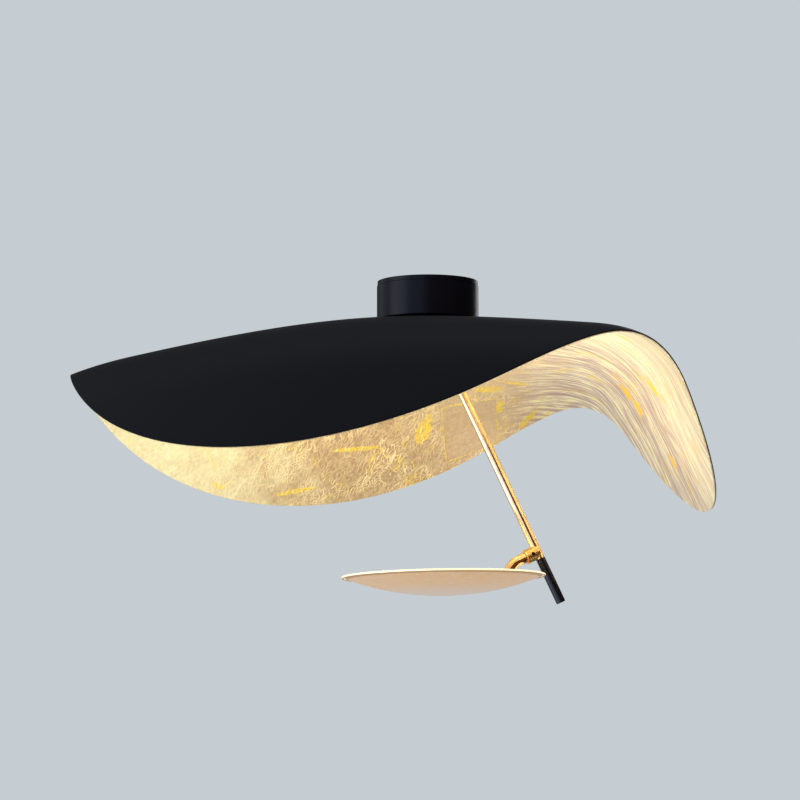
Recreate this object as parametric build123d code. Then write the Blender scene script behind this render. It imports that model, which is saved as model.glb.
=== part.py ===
from build123d import *
import os
from math import asin, atan2, cos, hypot, pi, radians, sin, sqrt, tan

# Ceiling light with a bent sheet-metal shade and a small upward-shining dish on a leaning stem.
# Units are millimetres. The origin is on the ceiling plane, on the axis of the canopy.
# +X is to the right of someone who faces the light, +Y is away from them and +Z is up.

# Clearances
running_gap = 0.05          # radial play of a shaft that turns in its hole
face_gap = 0.05             # play between flat faces that turn on each other
screw_gap = 0.05            # radial play of a screw in its hole
seat_gap = 0.1              # play between a flat washer and the slightly curved sheet

# Canopy: the round cup at the ceiling and the plate that holds it
canopy_radius = 43.0
canopy_height = 33.0
canopy_wall = 1.5
canopy_floor = 2.0
canopy_edge_radius = 1.0
plate_inset = 0.5           # how far the plate's edge stands back from the cup's side
plate_thickness = 3.5
plate_groove = 0.5          # dark line between plate and cup
collar_gap = 0.3
collar_wall = 2.0
collar_height = 9.0
supply_hole_radius = 8.0
slot_spacing = 60.0
slot_width = 5.0
slot_length = 12.0
grub_radius = 2.0
grub_length = 5.0
grub_drop = 8.0             # below the ceiling
grub_angles = (15.0, 165.0)

# Nipple: the hollow threaded tube on which everything hangs
nipple_radius = 5.0
nipple_bore = 3.5
nipple_top = 13.0           # how far it stands up above the cup's floor
nut_flats = 14.0
nut_chamfer = 0.5
upper_nut_height = 4.0
shade_nut_height = 3.0
swivel_nut_height = 3.5

# Driver, terminals and leads inside the canopy
driver_length = 46.0
driver_wall_gap = 2.1       # from the driver's outer corners to the cup's inside
driver_height = 16.0
driver_setback = 11.0       # from the canopy's axis to the driver's near face
driver_corner = 2.0
driver_lug = 6.4
driver_lug_width = 9.0
driver_lug_height = 2.0
terminal_length = 30.0
terminal_width = 16.0
terminal_height = 12.0
terminal_setback = 14.0
terminal_pitch = 9.0
terminal_screw_radius = 1.7
terminal_screw_depth = 3.0
terminal_screw_length = 2.2
small_screw_radius = 1.5
small_head_radius = 2.8
small_head_height = 1.8
socket_flats = 1.5
socket_depth = 1.2
lead_radius = 1.1
lead_entry = 3.0            # how far a lead goes into the terminal block
head_edge = 0.8
slot_wide = 0.8
slot_deep = 0.8
earth_screw_radius = 2.0
earth_head_radius = 3.6
earth_head_height = 2.4
earth_wall_gap = 1.8        # from the earth screw's head to the collar's inside
earth_lead_gap = 2.3        # from the earth lead to the collar's inside

# Shade: a round blank, coned a little and bent down over three lines
blank_radius = 300.0
sheet_thickness = 1.5
leaf_thickness = 0.3
spacer_thickness = 1.0
spacer_radius = 18.0
clamp_washer_thickness = 1.5
clamp_washer_radius = 16.0
seat_radius = 20.0
cone_slope = 0.148
cone_blend = 25.0
# The three bends: heading of each lobe in degrees, where along that heading its bend starts,
# the length of sheet that the bend takes up, and the angle that it turns the sheet down by
bend_headings = (0.0, -121.0, 121.0)
bend_starts = (115.0, 110.0, 100.0)
bend_runs = (100.0, 135.0, 140.0)
bend_angles = (61.0, 44.0, 51.0)

# Swivel base and its knuckle, under the shade
friction_washer_thickness = 0.8
friction_washer_radius = 13.0
swivel_radius = 22.0
swivel_edge = 1.0
swivel_height = 9.0
swivel_recess_depth = 4.5
swivel_recess_gap = 1.2     # room for a spanner round the nut
spring_washer_thickness = 0.75
nipple_tail = 0.9           # thread that shows below the last nut
knuckle_drop = 11.75        # from the underside of the swivel base to the knuckle's pin
cheek_radius = 7.0
cheek_thickness = 5.0
tang_radius = 6.5
tang_thickness = 5.2
knuckle_washer_thickness = 0.6
pin_radius = 2.5
pin_head_radius = 4.5
pin_head_height = 2.0
pin_nut_flats = 8.0
pin_nut_height = 3.0
pin_tail = 0.5
knuckle_washer_inset = 0.5

# Stem: measured along its own axis from the knuckle's pin
stem_lean = 25.0            # degrees off vertical
stem_crossing = -32.0       # height at which the stem's line meets the canopy's axis
stem_length = 230.0
stem_radius = 4.0
stem_bore = 3.0
tang_length = 13.0
stem_collar_radius = 5.5
stem_collar_height = 5.0
stem_spigot_length = 10.0
hub_place = 183.5
hub_radius = 6.0
hub_reach = 12.5            # from the stem's axis to the hub's open face
hub_turn = 20.0             # degrees that the hub points towards the viewer
hub_wall_gap = 0.02
hub_edge = 0.3
hub_screw_radius = 1.5
hub_screw_place = 6.5
hub_screw_tip = 0.9
hub_screw_inset = 0.3
hub_spigot_start = 4.7
handle_chamfer = 0.5
handle_stud_above = 3.0
handle_stud_below = 12.0
core_gap = 0.3              # round a lead inside a tube

# Elbow from the hub down into the dish
elbow_radius = 4.5
elbow_bore = 2.4
elbow_spigot_radius = 3.5
elbow_straight = 6.5
elbow_bend = 16.0
elbow_groove = 2.2
elbow_groove_depth = 0.55

# Dish and the LED light source in it
dish_radius = 84.0
dish_depth = 16.0
dish_sheet = 1.0
dish_bead = 1.0
dish_turn = 2.6             # degrees that the dish is turned about the hub, out of level
dish_rim_drop = 20.9        # from the hub's axis on the stem down to the rim, when level
boss_radius = 6.5
boss_drop = 2.5             # the boss's top face below the rim
boss_screw_radius = 1.5
boss_screw_drop = 2.2       # below the boss's top face
boss_socket_depth = 3.5     # how far the elbow's foot goes into the boss
boss_gap = 0.2              # from the diffuser's ring to the boss
carrier_edge_gap = 1.9      # from the carrier's lower edge out to the dish
carrier_drop = 6.5          # the carrier's top face below the rim
carrier_thickness = 2.5
post_radius = 3.0
post_inset = 16.0           # from the carrier's edge in to the posts' centres
post_count = 3
post_screw_reach = 2.5      # how far a carrier screw goes into its post
board_inset = 4.0           # the board's edge inside the carrier's edge
board_thickness = 1.2
chip_size = 3.0
chip_height = 0.7
chip_row_pitch = 13.0       # rings of LEDs, each with six more than the one inside it
chip_row_count = 3
chip_step_count = 6
diffuser_wall = 1.5
diffuser_height = 5.5
diffuser_ring_wall = 1.2
diffuser_ring_gap = 0.1
diffuser_ring_height = 6.0
diffuser_ring_drop = 1.5    # the ring's top below the diffuser's top
diffuser_edge = 1.2

# Heights that follow from the stack on the canopy's axis
floor_top = -canopy_height + canopy_floor
seat_height = -canopy_height - spacer_thickness
lining_top = seat_height - sheet_thickness
lining_bottom = lining_top - leaf_thickness
clamp_washer_top = lining_bottom - seat_gap
clamp_washer_bottom = clamp_washer_top - clamp_washer_thickness
shade_nut_bottom = clamp_washer_bottom - shade_nut_height
friction_washer_bottom = shade_nut_bottom - friction_washer_thickness
swivel_top = friction_washer_bottom - face_gap
swivel_bottom = swivel_top - swivel_height
recess_top = swivel_bottom + swivel_recess_depth
terminal_screw_floor = floor_top + terminal_height - terminal_screw_depth
spring_washer_top = recess_top - face_gap
swivel_nut_top = spring_washer_top - spring_washer_thickness
swivel_nut_bottom = swivel_nut_top - swivel_nut_height
nipple_end = swivel_nut_bottom - nipple_tail
knuckle_height = swivel_bottom - knuckle_drop
nut_corner = nut_flats / sqrt(3)

# Room inside the canopy
cup_inside = canopy_radius - canopy_wall
collar_outside = cup_inside - collar_gap
collar_inside = collar_outside - collar_wall
driver_reach = sqrt((cup_inside - driver_wall_gap) ** 2 - (driver_length / 2) ** 2)
driver_width = driver_reach - driver_setback
earth_screw_y = -(collar_inside - earth_wall_gap - earth_head_radius)
earth_lead_y = -(collar_inside - earth_lead_gap - lead_radius)

# Directions and frames
lean = radians(stem_lean)
knuckle_x = (stem_crossing - knuckle_height) * tan(lean)
stem_frame = Plane(
    origin=(knuckle_x, 0, knuckle_height),
    x_dir=(cos(lean), 0, sin(lean)),
    z_dir=(sin(lean), 0, -cos(lean)),
)
hub_heading = 180.0 - hub_turn          # about the stem's axis, in the stem's frame
hub_direction = (
    stem_frame.x_dir * cos(radians(hub_heading)) + stem_frame.y_dir * sin(radians(hub_heading))
)
hub_centre = stem_frame.origin + stem_frame.z_dir * hub_place
hub_fall = asin(-hub_direction.Z)       # how steeply the hub points down
hub_compass = atan2(hub_direction.Y, hub_direction.X)
hub_axis = Axis(hub_centre, hub_direction)

# The dish and elbow are drawn level in a frame at the hub: X away from the stem, Z up
level_x = Vector(cos(hub_compass), sin(hub_compass), 0)
turn_only = Axis((0, 0, 0), hub_direction)
disc_frame = Plane(
    origin=hub_centre,
    x_dir=level_x.rotate(turn_only, dish_turn),
    z_dir=Vector(0, 0, 1).rotate(turn_only, dish_turn),
)
elbow_start = Vector(cos(hub_fall), 0, -sin(hub_fall))
elbow_face = hub_reach + face_gap
elbow_bend_start = elbow_start * (elbow_face + elbow_straight)
elbow_bend_end = elbow_bend_start + Vector(
    elbow_bend * (1 - sin(hub_fall)), 0, -elbow_bend * cos(hub_fall)
)
dish_rim = -dish_rim_drop
boss_top = dish_rim - boss_drop
carrier_top = dish_rim - carrier_drop
carrier_bottom = carrier_top - carrier_thickness
board_top = carrier_top + board_thickness
dish_outer_sphere = (dish_radius ** 2 + dish_depth ** 2) / (2 * dish_depth)
dish_inner_sphere = dish_outer_sphere - dish_sheet
sphere_height = dish_rim - dish_depth + dish_outer_sphere
dish_room = sqrt(dish_inner_sphere ** 2 - (sphere_height - carrier_bottom) ** 2)
carrier_radius = dish_room - carrier_edge_gap
board_radius = carrier_radius - board_inset
diffuser_ring_radius = carrier_radius + diffuser_ring_gap + diffuser_ring_wall
dish_centre_x = elbow_bend_end.X + boss_radius + boss_gap + diffuser_ring_radius
sphere_centre = Vector(dish_centre_x, 0, sphere_height)


def rod(radius, bottom, top, x=0.0, y=0.0):
    """An upright cylinder between two heights."""
    return Pos(x, y, (bottom + top) / 2) * Cylinder(radius, top - bottom)


def tube(outer, inner, bottom, top, x=0.0, y=0.0):
    """An upright tube between two heights."""
    return rod(outer, bottom, top, x, y) - rod(inner, bottom - 1, top + 1, x, y)


def hex_nut(flats, hole, bottom, top):
    """A six-sided nut with chamfered corners and a plain hole."""
    prism = extrude(RegularPolygon(flats / 2, 6, major_radius=False), top - bottom)
    blank = rod(flats / sqrt(3), bottom, top)
    blank = chamfer(blank.edges().filter_by(GeomType.CIRCLE), nut_chamfer)
    return ((Pos(0, 0, bottom) * prism) & blank) - rod(hole, bottom - 1, top + 1)


def along(start, direction, radius, length):
    """A cylinder that starts at a point and runs along a direction."""
    return Plane(origin=start, z_dir=direction) * extrude(Circle(radius), length)


def hex_socket(mouth, inward):
    """The hexagonal hole in the end of a small set screw."""
    outline = RegularPolygon(socket_flats / 2, 6, major_radius=False)
    return Plane(origin=mouth, z_dir=inward) * extrude(outline, socket_depth)


def lead(points, radius):
    """A round lead along straight runs joined by arcs as large as the runs allow."""
    path = [Vector(*point) for point in points]
    radii = []
    for before, corner, after in zip(path, path[1:], path[2:]):
        shorter = min((corner - before).length, (after - corner).length)
        turn = radians((corner - before).get_angle(after - corner))
        radii.append(0.45 * shorter / tan(turn / 2))
    route = FilletPolyline(*path, radius=radii) if radii else Line(*path)
    section = Plane(origin=path[0], z_dir=path[1] - path[0]) * Circle(radius)
    return sweep(section, path=route)


def mounting_plate():
    """The plate screwed to the ceiling, with the collar that the cup's grub screws bite on."""
    plate = rod(canopy_radius - plate_inset, -plate_thickness, 0)
    plate += tube(collar_outside, collar_inside,
                  -plate_thickness - collar_height, -plate_thickness / 2)
    plate -= rod(supply_hole_radius, -plate_thickness - 1, 1)
    for side in (-1, 1):
        slot = extrude(SlotOverall(slot_length, slot_width), plate_thickness + 2)
        plate -= Pos(side * slot_spacing / 2, 0, -plate_thickness - 1) * slot
    for angle in grub_angles:
        plate -= grub_at(angle, grub_radius + screw_gap, grub_length + 2)
    plate -= rod(earth_screw_radius + screw_gap, -plate_thickness - 1, 1, 0, earth_screw_y)
    return plate


def grub_at(angle, radius, length):
    """A radial cylinder through the cup's side, its outer end just inside the surface."""
    direction = Vector(cos(radians(angle)), sin(radians(angle)), 0)
    outer = direction * (canopy_radius - 0.3 + (length - grub_length))
    return along(outer + Vector(0, 0, -grub_drop), -direction, radius, length)


def canopy_cover():
    """The round black cup, open at the top, that hides the driver."""
    bottom = -canopy_height
    top = -plate_thickness - plate_groove
    body = rod(canopy_radius, bottom, top)
    body = fillet(body.edges().sort_by(Axis.Z)[0], canopy_edge_radius)
    body -= rod(cup_inside, floor_top, top + 1)
    body -= rod(nipple_radius + screw_gap, bottom - 1, floor_top + 1)
    for angle in grub_angles:
        body -= grub_at(angle, grub_radius + screw_gap, grub_length + 2)
    for x in (-1, 1):
        place = driver_screw_place(x)
        body -= rod(small_screw_radius + screw_gap, bottom - 1, floor_top + 1, *place)
    return body


def canopy_grub_screws():
    """The two hidden screws that hold the cup on the plate's collar."""
    screws = []
    for angle in grub_angles:
        screw = grub_at(angle, grub_radius, grub_length)
        direction = Vector(cos(radians(angle)), sin(radians(angle)), 0)
        outer = direction * (canopy_radius - 0.3) + Vector(0, 0, -grub_drop)
        screws.append(screw - hex_socket(outer, -direction))
    return screws


def driver_screw_place(side):
    """Centre of one of the two screws beside the driver."""
    return side * (driver_length + driver_lug) / 2, driver_setback + driver_width / 2


def led_driver():
    """The driver's box with a screw lug at each end."""
    middle = driver_setback + driver_width / 2
    box = Pos(0, middle, floor_top + driver_height / 2) * Box(
        driver_length, driver_width, driver_height
    )
    box = fillet(box.edges().filter_by(Axis.Z), driver_corner)
    box = chamfer(box.edges().group_by(Axis.Z)[-1], 0.8)
    for x in (-1, 1):
        place = driver_screw_place(x)
        lug = Pos(place[0] - x, place[1], floor_top + driver_lug_height / 2) * Box(
            driver_lug + 2, driver_lug_width, driver_lug_height
        )
        box += lug
        box -= rod(small_screw_radius + screw_gap, floor_top - 1,
                   floor_top + driver_lug_height + 1, *place)
    return box


def pan_screw(x, y, seat, end):
    """A pan-head screw, head up, with a cross recess."""
    head = rod(small_head_radius, seat, seat + small_head_height, x, y)
    head = fillet(head.edges().group_by(Axis.Z)[-1], head_edge)
    arm = Box(small_head_radius, slot_wide, 2 * slot_deep)
    for angle in (0, 90):
        head -= Pos(x, y, seat + small_head_height) * Rot(0, 0, angle) * arm
    return head + rod(small_screw_radius, end, seat, x, y)


def driver_screws():
    """The screws through the driver's lugs into the cup's floor."""
    seat = floor_top + driver_lug_height
    return [pan_screw(*driver_screw_place(x), seat, -canopy_height) for x in (-1, 1)]


def terminal_block():
    """The three-way block in which the supply ends."""
    middle = -terminal_setback - terminal_width / 2
    body = Pos(0, middle, floor_top + terminal_height / 2) * Box(
        terminal_length, terminal_width, terminal_height
    )
    body = chamfer(body.edges().group_by(Axis.Z)[-1], 0.8)
    for pole in (-1, 0, 1):
        x = pole * terminal_pitch
        way = Pos(x, middle, floor_top + terminal_height / 2) * Rot(90, 0, 0)
        body -= way * Cylinder(lead_radius + screw_gap, terminal_width + 2)
        for y in (middle - terminal_width / 4, middle + terminal_width / 4):
            body -= rod(terminal_screw_radius + screw_gap, terminal_screw_floor,
                        floor_top + terminal_height + 1, x, y)
    return body


def terminal_screws():
    """The six clamping screws of the terminal block."""
    middle = -terminal_setback - terminal_width / 2
    screws = []
    top = terminal_screw_floor + terminal_screw_length
    slot = Box(4 * terminal_screw_radius, slot_wide, slot_deep)
    for pole in (-1, 0, 1):
        for y in (middle - terminal_width / 4, middle + terminal_width / 4):
            x = pole * terminal_pitch
            screw = rod(terminal_screw_radius, terminal_screw_floor, top, x, y)
            screws.append(screw - Pos(x, y, top) * slot)
    return screws


def supply_leads():
    """Two leads from the terminal block to the driver, passing each side of the nipple."""
    start = -terminal_setback - lead_entry
    height = floor_top + terminal_height / 2
    leads = []
    for side in (-1, 1):
        near = side * terminal_pitch
        wide = side * (nut_corner + lead_radius + 3)
        points = [(near, start), (near, start / 2), (wide, 0), (wide, driver_setback)]
        leads.append(lead([(x, y, height) for x, y in points], lead_radius))
    return leads


def output_leads():
    """Two leads from the driver over the nipple's mouth and down through it."""
    mouth = floor_top + nipple_top
    leads = []
    for side in (-1, 1):
        inner = side * (lead_radius + 0.2)
        outer = side * (lead_radius + 2.4)
        leads.append(lead([
            (outer, driver_setback, mouth + 1), (outer, driver_setback - 4, mouth + 1),
            (2 * inner, driver_setback - 6, mouth + 6), (inner, 0, mouth + 6.6),
            (inner, 0, nipple_end + 1)], lead_radius))
    return leads


def earth_screw():
    """The earth screw in the mounting plate, head down."""
    seat = -plate_thickness
    head = rod(earth_head_radius, seat - earth_head_height, seat, 0, earth_screw_y)
    head = fillet(head.edges().group_by(Axis.Z)[0], head_edge)
    slot = Box(1.4 * earth_head_radius, slot_wide, 2 * slot_deep)
    head -= Pos(0, earth_screw_y, seat - earth_head_height) * slot
    return head + rod(earth_screw_radius, seat, -0.5, 0, earth_screw_y)


def earth_lead():
    """The earth lead from the middle pole up to the earth screw."""
    height = floor_top + terminal_height / 2
    start = -terminal_setback - terminal_width + lead_entry
    top = -plate_thickness - earth_head_height
    return lead([(0, start, height), (0, earth_lead_y, height), (0, earth_lead_y, top)], lead_radius)


def threaded_nipple():
    """The hollow threaded tube that joins cup, shade and swivel base."""
    body = tube(nipple_radius, nipple_bore, nipple_end, floor_top + nipple_top)
    return chamfer(body.edges().filter_by(GeomType.CIRCLE).group_by(Axis.Z)[-1], 0.4)


def washer(outer, thickness, top):
    """A flat washer on the nipple, by its top face."""
    return tube(outer, nipple_radius + screw_gap, top - thickness, top)


def travel(distance, start, run, angle):
    """How far a bend draws a point of the blank inwards, and how far it lowers it."""
    steps = 40
    step = (distance - start) / steps
    inward = 0.0
    down = 0.0
    if distance <= start:
        return inward, down
    for index in range(steps):
        share = min(1.0, (index + 0.5) * step / run)
        slope = radians(angle) * share ** 2 * (3 - 2 * share)
        inward += (1 - cos(slope)) * step
        down += sin(slope) * step
    return inward, down


def sheet_top(x, y):
    """Where a point of the flat blank lies on the finished shade's upper face."""
    beyond = max(hypot(x, y) - seat_radius, 0.0)
    px, py = x, y
    pz = seat_height - cone_slope * (hypot(beyond, cone_blend) - cone_blend)
    for heading, start, run, angle in zip(bend_headings, bend_starts, bend_runs, bend_angles):
        ahead = Vector(cos(radians(heading)), sin(radians(heading)), 0)
        inward, down = travel(x * ahead.X + y * ahead.Y, start, run, angle)
        px -= inward * ahead.X
        py -= inward * ahead.Y
        pz -= down
    return Vector(px, py, pz)


def sheet_point(x, y, depth):
    """A point at a depth below the shade's upper face, square to the sheet."""
    reach = 0.5
    along_x = sheet_top(x + reach, y) - sheet_top(x - reach, y)
    along_y = sheet_top(x, y + reach) - sheet_top(x, y - reach)
    return sheet_top(x, y) - along_x.cross(along_y).normalized() * depth


def sheet_ring(radius, depth):
    """A closed curve on the sheet, at one radius of the blank."""
    count = 48
    turns = [2 * pi * index / count for index in range(count)]
    points = [sheet_point(radius * cos(turn), radius * sin(turn), depth) for turn in turns]
    return Wire([Edge.make_spline(points, periodic=True)])


def closed_edges(face):
    """The closed edges of a ring-shaped face, the one round the hole first."""
    return [edge for edge in face.edges().sort_by(SortBy.LENGTH) if edge.is_closed]


def sheet_layer(upper, lower):
    """The solid between two depths of the bent sheet, with the nipple's hole in it."""
    hole = nipple_radius + screw_gap
    inner = [hole, (hole + seat_radius) / 2, seat_radius]
    inner += [seat_radius + share * cone_blend for share in (0.4, 1.0)]
    outer = [inner[-1] + (blank_radius - inner[-1]) * step / 11 for step in range(1, 12)]
    radii = inner + outer
    above = Shell.make_loft([sheet_ring(radius, upper) for radius in radii]).face()
    below = Shell.make_loft([sheet_ring(radius, lower) for radius in radii]).face()
    edges = zip(closed_edges(above), closed_edges(below))
    sides = [Face.make_surface_from_curves(*pair) for pair in edges]
    return Solid(Shell(Face.sew_faces([above, below, *sides])[0]))


def swivel_base():
    """The turned base that swings round the nipple, with the knuckle's two cheeks."""
    body = rod(swivel_radius, swivel_bottom, swivel_top)
    body = chamfer(body.edges().filter_by(GeomType.CIRCLE), swivel_edge)
    inner = tang_thickness / 2 + knuckle_washer_thickness + 2 * face_gap
    for side in (-1, 1):
        cheek = Pos(knuckle_x, 0, knuckle_height) * Rot(90, 0, 0) * Cylinder(
            cheek_radius, cheek_thickness
        )
        rise = swivel_bottom - knuckle_height + 1
        cheek += Pos(knuckle_x, 0, knuckle_height + rise / 2) * Box(
            2 * cheek_radius, cheek_thickness, rise
        )
        cheek = Pos(0, side * (inner + cheek_thickness / 2), 0) * cheek
        body += cheek & rod(swivel_radius - swivel_edge, knuckle_height - cheek_radius, swivel_top)
    body -= rod(nut_corner + swivel_recess_gap, knuckle_height - cheek_radius - 1, recess_top)
    body -= rod(nipple_radius + running_gap, recess_top - 1, swivel_top + 1)
    body -= knuckle_bar(pin_radius + running_gap, 2 * inner + 2 * cheek_thickness + 2)
    return body


def knuckle_bar(radius, length):
    """A bar along the knuckle's axis, centred on it."""
    return Pos(knuckle_x, 0, knuckle_height) * Rot(90, 0, 0) * Cylinder(radius, length)


def cheek_outside():
    """Distance from the knuckle's middle to a cheek's outer face."""
    return tang_thickness / 2 + knuckle_washer_thickness + 2 * face_gap + cheek_thickness


def knuckle_pin():
    """The shouldered pin of the knuckle, its slotted head on the viewer's side."""
    outside = cheek_outside()
    tail = pin_nut_height + pin_tail
    shank = Pos(0, tail / 2, 0) * knuckle_bar(pin_radius, 2 * outside + tail)
    head = Pos(0, -outside - pin_head_height / 2, 0) * knuckle_bar(pin_head_radius, pin_head_height)
    head = fillet(head.edges().group_by(Axis.Y)[0], head_edge)
    slot = Box(2 * pin_head_radius, 2 * slot_deep, slot_wide)
    head -= Pos(knuckle_x, -outside - pin_head_height, knuckle_height) * slot
    return shank + head


def knuckle_nut():
    """The nut on the knuckle's pin."""
    nut = hex_nut(pin_nut_flats, pin_radius + screw_gap, 0, pin_nut_height)
    return Pos(knuckle_x, cheek_outside(), knuckle_height) * Rot(-90, 0, 0) * nut


def knuckle_washers():
    """The two thin friction washers beside the tang."""
    washers = []
    for side in (-1, 1):
        middle = side * (tang_thickness / 2 + face_gap + knuckle_washer_thickness / 2)
        ring = knuckle_bar(tang_radius - knuckle_washer_inset, knuckle_washer_thickness)
        ring -= knuckle_bar(pin_radius + screw_gap, knuckle_washer_thickness + 2)
        washers.append(Pos(0, middle, 0) * ring)
    return washers


def stem_knuckle():
    """The flat tang on the knuckle's pin, its collar and the spigot inside the stem."""
    tang = Rot(90, 0, 0) * Cylinder(tang_radius, tang_thickness)
    tang += Pos(0, 0, tang_length / 2) * Box(2 * tang_radius, tang_thickness, tang_length)
    tang += rod(stem_collar_radius, tang_length - 1, tang_length + stem_collar_height)
    tang += rod(stem_bore - screw_gap, tang_length, stem_tube_start() + stem_spigot_length)
    tang -= Rot(90, 0, 0) * Cylinder(pin_radius + running_gap, tang_thickness + 2)
    return stem_frame * tang


def stem_tube_start():
    """Where the brass tube begins, along the stem."""
    return tang_length + stem_collar_height


def handle_start():
    """Where the black handle begins, along the stem."""
    return hub_place + hub_radius


def hub_cylinder(radius, start, end):
    """A cylinder along the hub's axis, in the stem's frame."""
    turn = Pos(0, 0, hub_place) * Rot(0, 0, hub_heading) * Rot(0, 90, 0)
    return turn * rod(radius, start, end)


def stem_tube():
    """The brass tube, with the side hole for the leads at the hub."""
    body = tube(stem_radius, stem_bore, stem_tube_start(), handle_start() - face_gap)
    return stem_frame * (body - hub_cylinder(elbow_bore, 0, stem_radius + 1))


def handle():
    """The black grip that carries the stem on past the hub."""
    body = rod(stem_radius, handle_start(), stem_length)
    body = chamfer(body.edges().filter_by(GeomType.CIRCLE).group_by(Axis.Z)[-1], handle_chamfer)
    body -= rod(stem_bore, handle_start() - 1, handle_start() + handle_stud_below + 0.5)
    return stem_frame * body


def handle_stud():
    """The stud that joins the handle to the brass tube."""
    low = handle_start() - handle_stud_above
    return stem_frame * rod(stem_bore - screw_gap, low, handle_start() + handle_stud_below)


def stem_lead():
    """The twin lead inside the stem, as one round core."""
    low = stem_tube_start() + stem_spigot_length + 1
    return stem_frame * rod(stem_bore - core_gap, low, hub_place - elbow_bore)


def tee_hub():
    """The short brass hub saddled on the stem, bored for the elbow's spigot."""
    body = hub_cylinder(hub_radius, 0, hub_reach)
    rims = body.edges().filter_by(GeomType.CIRCLE).sort_by_distance(hub_point(hub_reach))
    body = chamfer(rims[0], hub_edge)
    body -= rod(stem_radius + hub_wall_gap, hub_place - 2 * hub_radius, hub_place + 2 * hub_radius)
    body -= hub_cylinder(elbow_spigot_radius + running_gap, 0, hub_reach + 1)
    body -= hub_screw_body(hub_screw_radius + screw_gap, 0, hub_radius + 1)
    return stem_frame * body


def hub_point(distance):
    """A point on the hub's axis, in the stem's frame."""
    turn = radians(hub_heading)
    return Vector(distance * cos(turn), distance * sin(turn), hub_place)


def hub_screw_body(radius, low, high):
    """A cylinder across the hub on its front, between two distances from the hub's axis."""
    turn = radians(hub_heading - 90)
    direction = Vector(cos(turn), sin(turn), 0)
    start = hub_point(hub_screw_place) + direction * low
    return along(start, direction, radius, high - low)


def hub_grub_screw():
    """The socket screw on the hub's front whose tip rides in the spigot's groove."""
    outer = hub_radius - hub_screw_inset
    shoulder = elbow_spigot_radius + 2 * running_gap
    tip = elbow_spigot_radius - elbow_groove_depth + 2 * running_gap
    screw = hub_screw_body(hub_screw_radius, shoulder, outer)
    screw += hub_screw_body(hub_screw_tip, tip, shoulder + 0.1)
    turn = radians(hub_heading - 90)
    direction = Vector(cos(turn), sin(turn), 0)
    mouth = hub_point(hub_screw_place) + direction * outer
    return stem_frame * (screw - hex_socket(mouth, -direction))


def elbow_path(start):
    """The elbow's centre line from a distance along the hub's axis to the boss's top."""
    first = elbow_start * start
    middle = elbow_bend_start + (elbow_bend_end - elbow_bend_start) / 2
    centre = elbow_bend_end - Vector(elbow_bend, 0, 0)
    outward = (middle - centre).normalized()
    return Wire([
        Edge.make_line(first, elbow_bend_start),
        Edge.make_three_point_arc(elbow_bend_start, centre + outward * elbow_bend, elbow_bend_end),
        Edge.make_line(elbow_bend_end, Vector(elbow_bend_end.X, 0, boss_top)),
    ])


def elbow_sweep(radius, start):
    """A round bar along the elbow's path."""
    section = Plane(origin=elbow_start * start, z_dir=elbow_start) * Circle(radius)
    return sweep(section, path=elbow_path(start))


def elbow():
    """The polished elbow: a spigot that turns in the hub, a bend, and a spigot in the boss."""
    body = elbow_sweep(elbow_radius, elbow_face)
    spigot = along(elbow_start * hub_spigot_start, elbow_start, elbow_spigot_radius,
                   elbow_face - hub_spigot_start + 0.5)
    groove_start = elbow_start * (hub_screw_place - elbow_groove / 2)
    ring = along(groove_start, elbow_start, elbow_spigot_radius + 1, elbow_groove)
    ring -= along(groove_start, elbow_start, elbow_spigot_radius - elbow_groove_depth, elbow_groove)
    foot = rod(elbow_spigot_radius, boss_floor(), boss_top + 0.5, elbow_bend_end.X)
    body += spigot - ring
    body += foot
    body -= elbow_sweep(elbow_bore, hub_spigot_start - 0.5)
    body -= rod(elbow_bore, boss_floor() - 1, boss_top + 1, elbow_bend_end.X)
    return disc_frame * body


def elbow_lead():
    """The leads inside the elbow, as one round core."""
    return disc_frame * elbow_sweep(elbow_bore - core_gap, hub_spigot_start + 1)


def boss_floor():
    """Height at which the elbow's foot ends inside the boss."""
    return boss_top - boss_socket_depth


def dish():
    """The spun dish: a shallow cap with a rolled bead round its rim."""
    outer = Pos(*sphere_centre) * Sphere(dish_outer_sphere)
    inner = Pos(*sphere_centre) * Sphere(dish_inner_sphere)
    keep = rod(dish_radius - dish_bead / 2, dish_rim - dish_depth - 1,
               dish_rim - dish_bead / 2, dish_centre_x)
    bead = Pos(dish_centre_x, 0, dish_rim - dish_bead / 2) * Torus(dish_radius - dish_bead, dish_bead)
    return disc_frame * ((outer & keep) - inner + bead)


def dish_boss():
    """The turned boss on the dish's floor that takes the elbow's foot."""
    body = rod(boss_radius, dish_rim - dish_depth, boss_top, elbow_bend_end.X)
    body = chamfer(body.edges().filter_by(GeomType.CIRCLE).group_by(Axis.Z)[-1], 0.5)
    body &= Pos(*sphere_centre) * Sphere(dish_inner_sphere)
    body -= rod(elbow_spigot_radius + screw_gap, boss_floor() - 0.1, boss_top + 1, elbow_bend_end.X)
    body -= boss_screw_body(boss_screw_radius + screw_gap, elbow_spigot_radius - 0.5, boss_radius + 1)
    return disc_frame * body


def boss_screw_place(distance):
    """A point on the set screw's axis, at a distance from the boss's own axis."""
    return Vector(elbow_bend_end.X, distance, boss_top - boss_screw_drop)


def boss_screw_body(radius, near, far):
    """A cylinder across the boss, between two distances from its axis."""
    return along(boss_screw_place(near), Vector(0, 1, 0), radius, far - near)


def boss_screw():
    """The set screw that locks the elbow's foot in the boss."""
    mouth = boss_radius - hub_screw_inset
    screw = boss_screw_body(boss_screw_radius, elbow_spigot_radius + screw_gap, mouth)
    return disc_frame * (screw - hex_socket(boss_screw_place(mouth), Vector(0, -1, 0)))


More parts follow.
